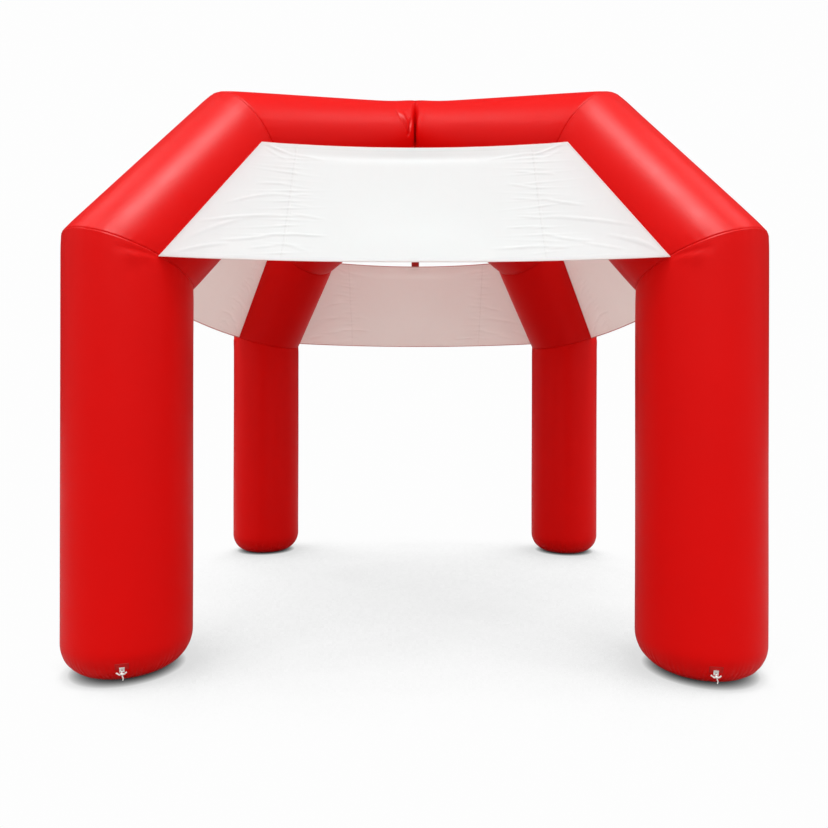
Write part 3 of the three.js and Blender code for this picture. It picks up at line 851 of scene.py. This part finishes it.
def banner_stations(banner, drop, mesh):
    """Rows down a banner, close together at both hems, and columns across it as parts: from -2 to -1 and from
    1 to 2 in the gores, and from -1 to 1 between the seams, close together at the seams."""
    inner = between(HEM_STATIONS[-1], drop - HEM_STATIONS[-1], round(BANNER_ROWS * mesh))
    rows = np.concatenate([HEM_STATIONS, inner, drop - HEM_STATIONS[::-1]])
    near = SEAM_STATIONS / banner.seam
    centre = between(-1 + near[-1], 1 - near[-1], round(CENTRE_COLUMNS * mesh))
    centre = np.concatenate([-1 + near, centre, 1 - near[::-1]])
    even = between(near[-1] * GORE_SPREAD, 1, round(GORE_COLUMNS * mesh))
    gore = np.concatenate([near[1:] * GORE_SPREAD, even, 1 - EDGE_STATIONS])
    return rows, np.concatenate([-1 - gore[::-1], centre, 1 + gore])


def make_banner(sizes, banner, name, materials):
    """One banner as a continuous sheet, thicker along its hems and its two felled seams."""
    side = SIDES[name]
    plane = banner_plane(sizes, banner)
    rows, parts = banner_stations(banner, plane["drop"], side["mesh"])
    down, part = np.meshgrid(rows, parts, indexing="ij")
    half = lerp(plane["top"], plane["bottom"], down / plane["drop"])
    gore = np.sign(part) * (banner.seam + (np.abs(part) - 1) * (half - banner.seam))
    across = np.where(np.abs(part) <= 1, part * banner.seam, gore)
    middle = banner_surface(sizes, banner, side, across, down)
    hem = np.minimum(down, plane["drop"] - down)
    seam = np.abs(np.abs(across) - banner.seam)
    doubled = np.maximum(np.clip((banner.hem_width - hem) / (HEM_EDGE * MM), 0, 1),
                         np.clip((FELL_HALF * MM - seam) / (FELL_EDGE * MM), 0, 1))
    thickness = lerp(banner.thickness, banner.hem_thickness, doubled)
    attributes = {"hem": hem, "seam": seam, "border": np.minimum(hem, half - np.abs(across))}
    return closed_sheet(f"banner_cloth_{name}", turned(middle, side["turn"]), thickness, materials,
                        joined(across, down), attributes)


def banner_cut(sizes, banner):
    """The flat cut of a banner: its greatest width, its length, and its area."""
    plane = banner_plane(sizes, banner)
    return (2 * plane["bottom"], plane["drop"]), plane["drop"] * (plane["top"] + plane["bottom"])


# Hanger straps


def crown_seam_point(sizes, axes, degrees):
    """A point of the seam between two neighbouring arms, in the upright plane through a side's middle."""
    angle = math.radians(degrees)
    tilt = math.atan2(axes["arm"]["along"][1], -axes["arm"]["along"][0])
    reach = sizes.tube_radius * math.cos(angle)
    rise = sizes.tube_radius * math.sin(angle) / math.cos(tilt) - reach * math.tan(tilt)
    return np.array([0.0, -ROOT2 * reach, sizes.crown_height + rise])


def make_strap(sizes, banner, strap, axes, name, material):
    """A strap from the middle of the top hem to the crown seam: a flat band along a slack curve, a parabola
    between its ends, that narrows to a tip. It dishes a little across its width."""
    side = SIDES[name]
    hem = banner_surface(sizes, banner, side, np.array(0.0), np.array(0.0))
    seam = crown_seam_point(sizes, axes, strap.seam_angle)
    way = (seam - hem) / np.linalg.norm(seam - hem)
    part = np.linspace(0, 1, STRAP_ROWS)[:, None]
    line = lerp(hem + way * strap.hem_gap, seam + way * strap.seam_reach, part)
    line[:, 2:] -= strap.sag * arch(part)
    run = np.concatenate([[0], np.cumsum(np.linalg.norm(np.diff(line, axis=0), axis=1))])[:, None]
    length = float(run[-1, 0])
    width = np.minimum(strap.width, strap.tip_width + STRAP_TAPER * (length - run))
    across = np.linspace(-0.5, 0.5, STRAP_COLUMNS)
    offset = width * across
    points = np.repeat(line[:, None], STRAP_COLUMNS, axis=1)
    points[..., 0] += offset
    points[..., 2] -= STRAP_DISH * MM * (1 - (2 * across) ** 2) * np.sin(math.pi * part)
    border = width / 2 - np.abs(offset)
    thickness = thinned(strap.thickness, border, *STRAP_BORDER)
    made = closed_sheet(f"hanger_strap_{name}", turned(points[::-1], side["turn"]), thickness[::-1],
                        [material], joined(offset, run)[::-1], {"border": border[::-1]})
    taper = (strap.width - strap.tip_width) / STRAP_TAPER
    area = strap.width * (length - taper) + taper * (strap.width + strap.tip_width) / 2
    return made, (strap.width, length), area


# Leg ties. A tie is drawn at the leg's axis, facing +X.


def leg_wall(sizes, height):
    """The leg's radius at a height: a quarter round from the flat base, then straight."""
    drop = np.maximum(sizes.base_rounding - height, 0)
    return sizes.tube_radius - sizes.base_rounding + np.sqrt(sizes.base_rounding ** 2 - drop ** 2)


def on_leg(sizes, radius, across, height):
    """Points at a radius from the leg's axis, a distance round it, and a height."""
    return joined(*round_axis(radius, across / sizes.tube_radius), height)


def at_leg(sizes, points, name):
    """A tie's points turned to its bearing and carried to its leg."""
    placed = turned(points, CORNERS[name]["tie"])
    placed[..., 0] += sizes.leg_offset * ROOT2
    return turned(placed, CORNERS[name]["turn"])


def make_patch(sizes, tie, name, material):
    """A patch on the leg's rounding: a sheet that thins at its border, with a trough under its stitches."""
    across, height = np.meshgrid(np.linspace(-0.5, 0.5, PATCH_COLUMNS) * tie.patch_width,
                                 np.linspace(tie.patch_top, tie.patch_bottom, PATCH_ROWS))
    border = np.minimum(tie.patch_width / 2 - np.abs(across),
                        np.minimum(tie.patch_top - height, height - tie.patch_bottom))
    depth, place, width = PATCH_TROUGH
    thickness = thinned(tie.patch_thickness, border, *PATCH_BORDER)
    thickness = thickness - depth * MM * bell((border / MM - place) / width)
    points = on_leg(sizes, leg_wall(sizes, height) + tie.gap + thickness / 2, across, height)
    return closed_sheet(f"tie_patch_cloth_{name}", at_leg(sizes, points, name), thickness, [material],
                        joined(across, height), {"border": border})


def tab_radius(sizes, tie, height):
    """Where a tab's middle lies: on its patch, then straight down below it."""
    lift = 2 * tie.gap + tie.patch_thickness + tie.tab_thickness / 2
    return leg_wall(sizes, np.maximum(height, tie.patch_bottom)) + lift


def make_tab(sizes, tie, name, material):
    """A webbing tab with a round hole. Each ray from the hole's middle runs from the hole's edge to the tab's
    outline, over the outside and back over the inside, so the surface closes on itself both ways."""
    half = tie.tab_width / 2
    above = tie.tab_top - tie.hole_height
    below = tie.hole_height - tie.tab_bottom
    corners = [math.atan2(rise, reach) for rise in (above, -below) for reach in (half, -half)]
    rays = np.linspace(-math.pi, math.pi, TAB_RAYS, endpoint=False)
    turn = np.unique(np.concatenate([rays, corners]))
    with np.errstate(divide="ignore"):
        to_side = half / np.abs(np.cos(turn))
        to_end = np.where(np.sin(turn) > 0, above, below) / np.abs(np.sin(turn))
    outline = np.minimum(to_side, to_end)
    rim = lerp(TAB_RIM, 1, np.sin(math.pi * TAB_PARTS).clip(0, 1) ** TAB_RIM_FADE)
    ray = lerp(tie.hole_radius, outline, np.concatenate([TAB_PARTS, TAB_PARTS[::-1]])[:, None])
    lift = 0.5 * tie.tab_thickness * np.concatenate([rim, -rim[::-1]])[:, None]
    across = ray * np.cos(turn)
    height = tie.hole_height + ray * np.sin(turn)
    points = on_leg(sizes, tab_radius(sizes, tie, height) + lift, across, height)
    rows, columns = across.shape
    row, column = grid_quads(rows, columns, wrap_rows=True, wrap_columns=True)
    faces = (row % rows) * columns + column % columns
    uv = joined(across, height)[row % rows, column % columns]
    return make_object(f"tie_tab_webbing_{name}", at_leg(sizes, points, name), [faces[:, ::-1]], [True],
                       [material], uv=[uv[:, ::-1]])


def smooth_line(points, steps):
    """A smooth line through points: between each two, the cubic whose slopes follow their neighbours."""
    padded = np.concatenate([[2 * points[0] - points[1]], points, [2 * points[-1] - points[-2]]])
    part = np.linspace(0, len(points) - 1, steps)
    span = np.minimum(part.astype(int), len(points) - 2)
    t = (part - span)[:, None]
    before, here, after, beyond = (padded[span + k] for k in range(4))
    return 0.5 * (2 * here + (after - before) * t + (2 * before - 5 * here + 4 * after - beyond) * t ** 2
                  + (3 * here - before - 3 * after + beyond) * t ** 3)


def tape(line, way, width, thickness):
    """A flat tape along a line: a rounded oblong profile, its width laid along one way. The last ring of each
    end draws in, and the ends close to a middle point."""
    along = np.gradient(line, axis=0)
    along /= np.linalg.norm(along, axis=1, keepdims=True)
    wide = way - (along @ way)[:, None] * along
    wide /= np.linalg.norm(wide, axis=1, keepdims=True)
    thick = np.cross(along, wide)
    angle = even_angles(TAPE_COLUMNS)[None, :, None]
    squared = np.sign(np.cos(angle)) * np.abs(np.cos(angle)) ** TAPE_SQUARE
    profile = 0.5 * (width * squared * wide[:, None] + thickness * np.sin(angle) * thick[:, None])
    profile[[0, -1]] *= TAPE_END
    return line[:, None] + profile


def knot_shell(centre):
    """A lumpy ball whose ridges wind like a tape, with its lowest and highest points."""
    angle = even_angles(KNOT_COLUMNS)
    tilt = between(-math.pi / 2, math.pi / 2, KNOT_ROWS)[:, None]
    ridges = KNOT["ridge"] * np.cos(KNOT["ridges"] * angle + KNOT["wind"] * np.sin(tilt))
    lumps = KNOT["lump"] * np.cos(KNOT["lumps"] * tilt + angle)
    out, across = round_axis((1 + ridges + lumps) * np.cos(tilt), angle)
    rings = joined(KNOT["depth"] * out, KNOT["width"] * across, KNOT["height"] * np.sin(tilt))
    poles = np.array([[0, 0, -KNOT["height"]], [0, 0, KNOT["height"]]])
    return centre + rings * MM, centre + poles * MM


def make_tie(sizes, tie, name, material):
    """A tie: a lumpy knot with a tape wound round it, the loop through the tab's hole, two free ends and a
    tail."""
    face = np.array([float(tab_radius(sizes, tie, tie.knot_height)), 0, tie.knot_height])
    shells = [knot_shell(face + [KNOT["out"] * MM, 0, 0])]
    for stretch in TAPE_STRETCHES:
        places = np.stack([stretch["out"], stretch["across"], stretch["up"]], axis=-1) * MM
        line = smooth_line(places + face, TAPE_ROWS)
        way = np.array(stretch["lies"], float)
        shells.append((tape(line, way, stretch["width"] * MM, tie.tape_thickness), line[[0, -1]]))
    points, faces, first = [], [], 0
    for rings, poles in shells:
        points += [rings.reshape(-1, 3), poles]
        faces += shell_faces(*rings.shape[:2], first)
        first += rings.shape[0] * rings.shape[1] + len(poles)
    points = np.concatenate(points)
    return make_object(f"tie_tape_{name}", at_leg(sizes, points, name), faces, [True] * len(faces),
                       [material], uv=[points[:, 1:][part] for part in faces])


# Settings


def size_of(name, description, default, least=0.0):
    """A length in metres."""
    return FloatProperty(name=name, description=description, default=default, min=least, unit="LENGTH",
                         precision=4)


def part_of(name, description, default, least=0.0):
    """A share up to 1."""
    return FloatProperty(name=name, description=description, default=default, min=least, max=1.0,
                         subtype="FACTOR")


def angle_of(name, description, default):
    """An angle in radians."""
    return FloatProperty(name=name, description=description, default=default, subtype="ANGLE")


def strength_of(name, description, default):
    """A light's strength."""
    return FloatProperty(name=name, description=description, default=default, min=0.0)


def pixels_of(name, description, default):
    """A length in picture pixels."""
    return FloatProperty(name=name, description=description, default=default, subtype="PIXEL")


def colour_of(name, description, default):
    """A colour."""
    return FloatVectorProperty(name=name, description=description, default=default, min=0.0, max=1.0,
                               subtype="COLOR")


def place_of(name, description, default):
    """A place in metres."""
    return FloatVectorProperty(name=name, description=description, default=default, subtype="TRANSLATION",
                               unit="LENGTH")


class TentFrameSizes(bpy.types.PropertyGroup):
    """Sizes of the inflated frame."""
    leg_offset: size_of("Leg Offset", "Leg axis from the middle, along X and along Y", 1.65, 0.5)
    tube_radius: size_of("Tube Radius", "Radius of every inflated tube", 0.35, 0.05)
    knee_height: size_of("Knee Height", "Where the axes of leg and rafter meet", 2.33, 0.5)
    shoulder_offset: size_of("Shoulder Offset", "Shoulder from the middle, on X and on Y", 1.15, 0.2)
    shoulder_height: size_of("Shoulder Height", "Where the axes of rafter and arm meet", 3.2, 0.5)
    crown_height: size_of("Crown Height", "Where the axes of the four arms meet", 3.72, 0.5)
    base_rounding: size_of("Base Rounding", "Radius from a leg's wall to its flat base", 0.19, 0.01)
    seam_gap: size_of("Seam Gap", "Gap between tubes that are sewn together", 0.0004)


class TentBannerSizes(bpy.types.PropertyGroup):
    """Sizes of a cloth banner."""
    top: part_of("Top Edge", "Top edge, as a part of the rafter from knee to shoulder", 0.925, 0.3)
    dip: angle_of("Dip", "Turn round the rafter from its side line to a bottom corner", math.radians(4.5))
    seam: size_of("Seam Offset", "Each sewn seam from the banner's middle", 0.72, 0.1)
    thickness: size_of("Thickness", "Thickness of the cloth", 0.002, 0.0005)
    hem_thickness: size_of("Hem Thickness", "Thickness of hems and seams", 0.0034, 0.0005)
    hem_width: size_of("Hem Width", "Width of the top and bottom hems", 0.032, 0.005)
    edge_gap: size_of("Edge Gap", "From the rafter to the slanted edge", 0.0012)
    top_sag: size_of("Top Sag", "Drop of the top edge's middle", 0.045)
    bottom_sag: size_of("Bottom Sag", "Drop of the bottom edge's middle", 0.034)


class TentStrapSizes(bpy.types.PropertyGroup):
    """Sizes of a hanger strap."""
    width: size_of("Width", "Width of the strap", 0.08, 0.01)
    thickness: size_of("Thickness", "Thickness of the strap", 0.002, 0.0005)
    sag: size_of("Sag", "Drop of the strap's middle", 0.026)
    tip_width: size_of("Tip Width", "Width of the tip in the crown seam", 0.004, 0.001)
    seam_angle: FloatProperty(name="Seam Angle", default=-20.0,
                              description="Degrees from the crown seam's foremost point")
    hem_gap: size_of("Hem Gap", "From the hem to the strap's foot", 0.001)
    seam_reach: size_of("Seam Reach", "How far the tip reaches into the crown seam", 0.03)


class TentTieSizes(bpy.types.PropertyGroup):
    """Sizes of a leg's patch, tab and tie."""
    patch_width: size_of("Patch Width", "Width of the patch", 0.07)
    patch_top: size_of("Patch Top", "Height of its top edge", 0.136)
    patch_bottom: size_of("Patch Bottom", "Height of its bottom edge", 0.1)
    patch_thickness: size_of("Patch Thickness", "Thickness of the patch", 0.002)
    tab_width: size_of("Tab Width", "Width of the webbing tab", 0.027)
    tab_top: size_of("Tab Top", "Height of its top edge", 0.115)
    tab_bottom: size_of("Tab Bottom", "Height of its bottom edge", 0.087)
    tab_thickness: size_of("Tab Thickness", "Thickness of the webbing", 0.002)
    hole_height: size_of("Hole Height", "Height of the hole's middle", 0.096)
    hole_radius: size_of("Hole Radius", "Radius of the hole in the tab", 0.0045)
    knot_height: size_of("Knot Height", "Height of the knot's middle", 0.081)
    tape_thickness: size_of("Tape Thickness", "Thickness of the tape", 0.0022)
    gap: size_of("Gap", "Gap under the patch and under the tab", 0.0006)


class TentFinishes(bpy.types.PropertyGroup):
    """Colours of the cloths, each with the shade that it drifts to."""
    tube_colour: colour_of("Tube", "Coated skin of the tubes", (0.725, 0.0012, 0.0006))
    tube_shade: colour_of("Tube Shade", "Its darker patches", (0.67, 0.0010, 0.0005))
    tube_gloss: part_of("Tube Gloss", "Strength of the skin's reflections", 0.08)
    # The outside's faint cyan tint is a painted counter-tint against pink bounce light from the red tubes and
    # from the painted pink inside.
    banner_colour: colour_of("Banner", "Outside of the banners", (0.89, 0.975, 0.985))
    banner_shade: colour_of("Banner Shade", "Its darker patches", (0.87, 0.955, 0.965))
    banner_through: part_of("Banner Through", "Share of light that goes through the cloth", 0.50)
    # The inside's pink is painted bounce light from the red tubes; its darker patches drift at random.
    painted_bounce_inside_colour: colour_of("Lining", "Inside of the banners", (1.0, 0.85, 0.80))
    painted_bounce_inside_shade: colour_of("Lining Shade", "Its darker patches", (0.98, 0.815, 0.765))
    strap_colour: colour_of("Strap", "Hanger straps", (0.52, 0.01, 0.008))
    strap_shade: colour_of("Strap Shade", "Its darker patches", (0.44, 0.008, 0.006))
    patch_colour: colour_of("Patch", "Patches under the ties", (0.58, 0.009, 0.007))
    patch_shade: colour_of("Patch Shade", "Its darker patches", (0.50, 0.007, 0.005))
    webbing_colour: colour_of("Webbing", "Tabs and ties", (0.84, 0.83, 0.80))
    webbing_shade: colour_of("Webbing Shade", "Its darker patches", (0.72, 0.70, 0.67))


class TentStage(bpy.types.PropertyGroup):
    """The floor, the lights and the camera."""
    floor_colour: colour_of("Floor", "Colour with which the floor lights the tent", (0.37, 0.37, 0.37))
    floor_side: size_of("Floor Side", "Length of the floor's side", 120.0)
    floor_level: part_of("Floor Level", "Brightness of the bare floor and the backdrop", 0.985)
    # The floor the camera sees is a glow with painted shade: a soft shade under the tent and a contact shadow
    # under each leg.
    floor_shade: part_of("Floor Shade", "Strength of the soft shade under the tent", 0.27)
    shaded_sky: part_of("Shaded Sky", "Share of open sky where the shade is full", 0.47)
    open_sky: part_of("Open Sky", "Share of open sky where the shade ends", 0.61)
    shade_reach: size_of("Shade Reach", "How far off a piece still shades the floor", 5.0)
    contact_reach: size_of("Contact Reach", "How far the dark line under a leg reaches", 0.055)
    sky: strength_of("Sky", "Strength of the soft light all round", 1.03)
    sky_gloss: strength_of("Sky Gloss", "Strength of the surround in reflections", 0.05)
    key_strength: strength_of("Key Strength", "Strength of the large light above", 1.6)
    key_elevation: angle_of("Key Elevation", "Height of the large light above", math.radians(75))
    side_strength: strength_of("Side Strength", "Strength of the two side lights", 0.12)
    side_elevation: angle_of("Side Elevation", "Height of the two side lights", math.radians(35))
    back_strength: strength_of("Back Strength", "Strength of the light behind the tent", 0.3)
    back_elevation: angle_of("Back Elevation", "Height of the light behind the tent", math.radians(35))
    gloss_strength: strength_of("Gloss Strength", "Front light that only reflections show", 6.7)
    gloss_elevation: angle_of("Gloss Elevation", "Height of that front light", math.radians(60))
    streak_strength: strength_of("Streak Strength", "Side lights that only reflections show", 0.55)
    streak_elevation: angle_of("Streak Elevation", "Height of those side lights", math.radians(55))
    light_spread: angle_of("Light Spread", "How wide each light seems", math.radians(26))
    gloss_spread: angle_of("Gloss Spread", "How wide each light seems in reflections", math.radians(14))
    box_power: FloatProperty(name="Softbox Power", description="Power of the softbox in front of the crown",
                             default=26.0, min=0.0, unit="POWER")
    box_side: size_of("Softbox Side", "Length of the softbox's side", 3.0)
    box_place: place_of("Softbox", "Where the softbox hangs", (0.0, -4.2, 6.6))
    box_tilt: angle_of("Softbox Tilt", "Tilt of the softbox from straight down", math.radians(38))
    camera_place: place_of("Camera", "Where the camera stands", (0.0133, -5.2509, 1.4157))
    camera_turn: angle_of("Camera Turn", "Turn to the right", -0.0035)
    camera_roll: angle_of("Camera Roll", "Roll of the camera", -0.0021)
    focal_pixels: pixels_of("Focal Length", "Focal length in picture pixels", 621.78)
    horizon: pixels_of("Horizon", "Picture row of the horizon", 422.0)


class TentSettings(bpy.types.PropertyGroup):
    """All settings of the tent."""
    frame: PointerProperty(type=TentFrameSizes)
    banner: PointerProperty(type=TentBannerSizes)
    strap: PointerProperty(type=TentStrapSizes)
    tie: PointerProperty(type=TentTieSizes)
    finish: PointerProperty(type=TentFinishes)
    stage: PointerProperty(type=TentStage)


# Operators


def settle(piece, slot, *nodes):
    """The piece rides with the tent and stands for its solids, which are hidden. The slot is not used."""
    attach(piece, "root")
    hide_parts(*nodes)


def make_tubes(context, part, make):
    """One kind of tube at each corner, all in the coated skin."""
    tent = context.scene.tent
    axes = corner_axes(tent.frame)
    material = tube_material(tent.finish)
    for phase, name in enumerate(CORNERS):
        tube = make(tent.frame, axes, name, phase, material)
        settle(tube, "tube_fabric", f"{part}_{name}")


def hang(scene, light, turn, matt):
    """A light in the scene, which either shows in reflections alone or everywhere else."""
    made = bpy.data.objects.new(light.name, light)
    made.rotation_euler = turn
    made.visible_diffuse = matt
    made.visible_transmission = matt
    made.visible_glossy = not matt
    scene.collection.objects.link(made)
    return made


class TENT_OT_stage(bpy.types.Operator):
    """Make the floor, the soft studio light and the camera"""
    bl_idname = "tent.stage"
    bl_label = "Stage"

    def execute(self, context):
        stage = context.scene.tent.stage
        self.make_floor(stage)
        self.make_light(context.scene, stage)
        self.make_camera(context.scene, stage)
        context.scene.view_settings.view_transform = "Standard"
        return {"FINISHED"}

    @staticmethod
    def make_floor(stage):
        """A flat square just under the tent's feet. The camera sees it as a white glow with painted shade:
        soft shade where the tent hides the sky and a dark contact shadow under each leg, both from ambient
        occlusion. Other rays see a plain grey floor."""
        place = np.linspace(-0.5, 0.5, FLOOR_POINTS) * stage.floor_side
        row, column = grid_quads(FLOOR_POINTS, FLOOR_POINTS)
        material, tree, shader, output = blank_material("pale_floor")
        darker = [FLOOR_DRIFT * value for value in stage.floor_colour]
        tone = blend(tree, cloud(tree, FLOOR_PATCH, GRAIN_DETAIL), stage.floor_colour, darker)
        feed(tree, shader, {"Base Color": tone, "Roughness": FLOOR_ROUGHNESS,
                            "Specular IOR Level": FLOOR_GLOSS})
        # Ambient occlusion paints the floor's shade: a wide reach for the soft shade under the tent, a short
        # one for the contact shadow under each leg.
        wide, close = (put(tree, "ShaderNodeAmbientOcclusion", {"Distance": reach},
                           samples=SHADE_SAMPLES).outputs["AO"]
                       for reach in (stage.shade_reach, stage.contact_reach))
        soft = put(tree, "ShaderNodeMapRange", {0: wide, 1: stage.shaded_sky, 2: stage.open_sky,
                                                3: 1 - stage.floor_shade, 4: 1.0}).outputs[0]
        level = sum_of(tree, "MULTIPLY", sum_of(tree, "MULTIPLY", soft, close), stage.floor_level)
        glow_with_painted_shade = put(tree, "ShaderNodeEmission", {"Color": WHITE, "Strength": level})
        seen = put(tree, "ShaderNodeLightPath").outputs["Is Camera Ray"]
        feed(tree, output, {"Surface": shared(tree, seen, shader, glow_with_painted_shade).outputs[0]})
        points = joined(*np.meshgrid(place, place), FLOOR_HEIGHT)
        make_object("floor", points, [row * FLOOR_POINTS + column], [False], [material])

    @staticmethod
    def make_light(scene, stage):
        """An even white surround, dim in reflections, a large light above, one on each side, one behind and a
        softbox in front of the crown. The skins' bright streaks come from lights that only reflections
        show."""
        world = bpy.data.worlds.new("studio")
        world.use_nodes = True
        tree = world.node_tree
        tree.nodes.clear()
        ray = put(tree, "ShaderNodeLightPath").outputs
        soft, dim, white = (put(tree, "ShaderNodeBackground", {"Color": WHITE, "Strength": strength})
                            for strength in (stage.sky, stage.sky_gloss, stage.floor_level))
        lit = shared(tree, ray["Is Glossy Ray"], soft, dim)
        both = shared(tree, ray["Is Camera Ray"], lit, white)
        put(tree, "ShaderNodeOutputWorld", {"Surface": both.outputs[0]})
        scene.world = world
        above, aside, behind, mirrored, streak = (math.pi / 2 - getattr(stage, f"{name}_elevation")
                                                  for name in ("key", "side", "back", "gloss", "streak"))
        for name, strength, turn, matt in (
                ("key_light", stage.key_strength, (above, 0, 0), True),
                ("left_light", stage.side_strength, (0, -aside, 0), True),
                ("right_light", stage.side_strength, (0, aside, 0), True),
                ("back_light", stage.back_strength, (-behind, 0, 0), True),
                ("front_gloss", stage.gloss_strength, (mirrored, 0, 0), False),
                ("left_streak", stage.streak_strength, (0, -streak, 0), False),
                ("right_streak", stage.streak_strength, (0, streak, 0), False)):
            sun = bpy.data.lights.new(name, "SUN")
            sun.energy = strength
            sun.angle = stage.light_spread if matt else stage.gloss_spread
            hang(scene, sun, turn, matt)
        box = bpy.data.lights.new("softbox", "AREA")
        box.energy = stage.box_power
        box.size = stage.box_side
        made = hang(scene, box, (stage.box_tilt, 0, 0), True)
        made.location = stage.box_place
        made.visible_camera = False

    @staticmethod
    def make_camera(scene, stage):
        """A level camera in front, turned and rolled by a little, with the horizon at its picture row."""
        lens = bpy.data.cameras.new("camera")
        lens.sensor_width = SENSOR
        lens.lens = stage.focal_pixels * SENSOR / PHOTO_SIDE
        lens.shift_y = (stage.horizon - PHOTO_SIDE / 2) / PHOTO_SIDE
        forward = np.array([math.sin(stage.camera_turn), math.cos(stage.camera_turn), 0.0])
        right = np.array([math.cos(stage.camera_turn), -math.sin(stage.camera_turn), 0.0])
        below = np.cross(forward, right)
        roll = stage.camera_roll
        across = math.cos(roll) * right + math.sin(roll) * below
        upward = math.sin(roll) * right - math.cos(roll) * below
        turn = np.stack([across, upward, -forward], axis=1)
        made = bpy.data.objects.new("camera", lens)
        made.matrix_world = Matrix.Translation(stage.camera_place) @ Matrix(turn.tolist()).to_4x4()
        scene.collection.objects.link(made)
        scene.camera = made


class TENT_OT_legs(bpy.types.Operator):
    """Make the four inflated legs"""
    bl_idname = "tent.legs"
    bl_label = "Legs"

    def execute(self, context):
        make_tubes(context, "leg", make_leg)
        return {"FINISHED"}


class TENT_OT_rafters(bpy.types.Operator):
    """Make the four inflated rafters"""
    bl_idname = "tent.rafters"
    bl_label = "Rafters"

    def execute(self, context):
        make_tubes(context, "rafter", make_rafter)
        return {"FINISHED"}


class TENT_OT_arms(bpy.types.Operator):
    """Make the four inflated arms that meet at the crown"""
    bl_idname = "tent.arms"
    bl_label = "Arms"

    def execute(self, context):
        make_tubes(context, "arm", make_arm)
        return {"FINISHED"}


class TENT_OT_banners(bpy.types.Operator):
    """Make the four cloth banners"""
    bl_idname = "tent.banners"
    bl_label = "Banners"

    def execute(self, context):
        tent = context.scene.tent
        materials = banner_materials(tent.finish)
        flat, area = banner_cut(tent.frame, tent.banner)
        for name, side in SIDES.items():
            cloth = make_banner(tent.frame, tent.banner, name, materials)
            settle(cloth, "banner_cloth", *[f"banner_{name}_{panel}"
                                            for panel in ("centre", "gore_left", "gore_right")])
        return {"FINISHED"}


class TENT_OT_straps(bpy.types.Operator):
    """Make the four hanger straps"""
    bl_idname = "tent.straps"
    bl_label = "Straps"

    def execute(self, context):
        tent = context.scene.tent
        axes = corner_axes(tent.frame)
        material = strap_material(tent.finish)
        for name, side in SIDES.items():
            strap, flat, area = make_strap(tent.frame, tent.banner, tent.strap, axes, name, material)
            settle(strap, "strap_fabric", f"strap_{name}")
        return {"FINISHED"}


class TENT_OT_patches(bpy.types.Operator):
    """Make the patch on each leg"""
    bl_idname = "tent.patches"
    bl_label = "Patches"

    def execute(self, context):
        tent = context.scene.tent
        tie = tent.tie
        material = patch_material(tent.finish)
        for name in CORNERS:
            patch = make_patch(tent.frame, tie, name, material)
            settle(patch, "patch_fabric", f"tie_patch_{name}")
        return {"FINISHED"}


class TENT_OT_tabs(bpy.types.Operator):
    """Make the webbing tab on each patch"""
    bl_idname = "tent.tabs"
    bl_label = "Tabs"

    def execute(self, context):
        tent = context.scene.tent
        tie = tent.tie
        material = webbing_material(tent.finish)
        for name in CORNERS:
            tab = make_tab(tent.frame, tie, name, material)
            settle(tab, "tie_webbing", f"tie_tab_{name}")
        return {"FINISHED"}


class TENT_OT_ties(bpy.types.Operator):
    """Make the knotted tie in each tab"""
    bl_idname = "tent.ties"
    bl_label = "Ties"

    def execute(self, context):
        tent = context.scene.tent
        material = webbing_material(tent.finish)
        for name in CORNERS:
            settle(make_tie(tent.frame, tent.tie, name, material), "tie_webbing", f"tie_{name}")
        return {"FINISHED"}


class TENT_PT_panel(bpy.types.Panel):
    """The tent's pieces and settings"""
    bl_idname = "TENT_PT_panel"
    bl_label = "Event Tent"
    bl_space_type = "VIEW_3D"
    bl_region_type = "UI"
    bl_category = "Tent"

    def draw(self, context):
        for operator in OPERATORS:
            self.layout.operator(operator.bl_idname)
        for group in TentSettings.__annotations__:
            box = self.layout.box()
            box.label(text=group.title())
            settings = getattr(context.scene.tent, group)
            for key in settings.__annotations__:
                box.prop(settings, key)


GROUPS = (TentFrameSizes, TentBannerSizes, TentStrapSizes, TentTieSizes, TentFinishes, TentStage,
          TentSettings)
OPERATORS = (TENT_OT_stage, TENT_OT_legs, TENT_OT_rafters, TENT_OT_arms, TENT_OT_banners, TENT_OT_straps,
             TENT_OT_patches, TENT_OT_tabs, TENT_OT_ties)


def register():
    """Make the tent's classes and settings known to Blender."""
    for made in (*GROUPS, *OPERATORS, TENT_PT_panel):
        bpy.utils.register_class(made)
    bpy.types.Scene.tent = PointerProperty(type=TentSettings)


def unregister():
    """Take the classes and settings away again."""
    del bpy.types.Scene.tent
    for made in reversed((*GROUPS, *OPERATORS, TENT_PT_panel)):
        bpy.utils.unregister_class(made)


def main():
    """Build the tent piece by piece."""
    register()
    bpy.ops.tent.stage()
    bpy.ops.tent.legs()
    bpy.ops.tent.rafters()
    bpy.ops.tent.arms()
    bpy.ops.tent.banners()
    bpy.ops.tent.straps()
    bpy.ops.tent.patches()
    bpy.ops.tent.tabs()
    bpy.ops.tent.ties()
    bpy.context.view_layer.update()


if __name__ == "__main__":
    main()
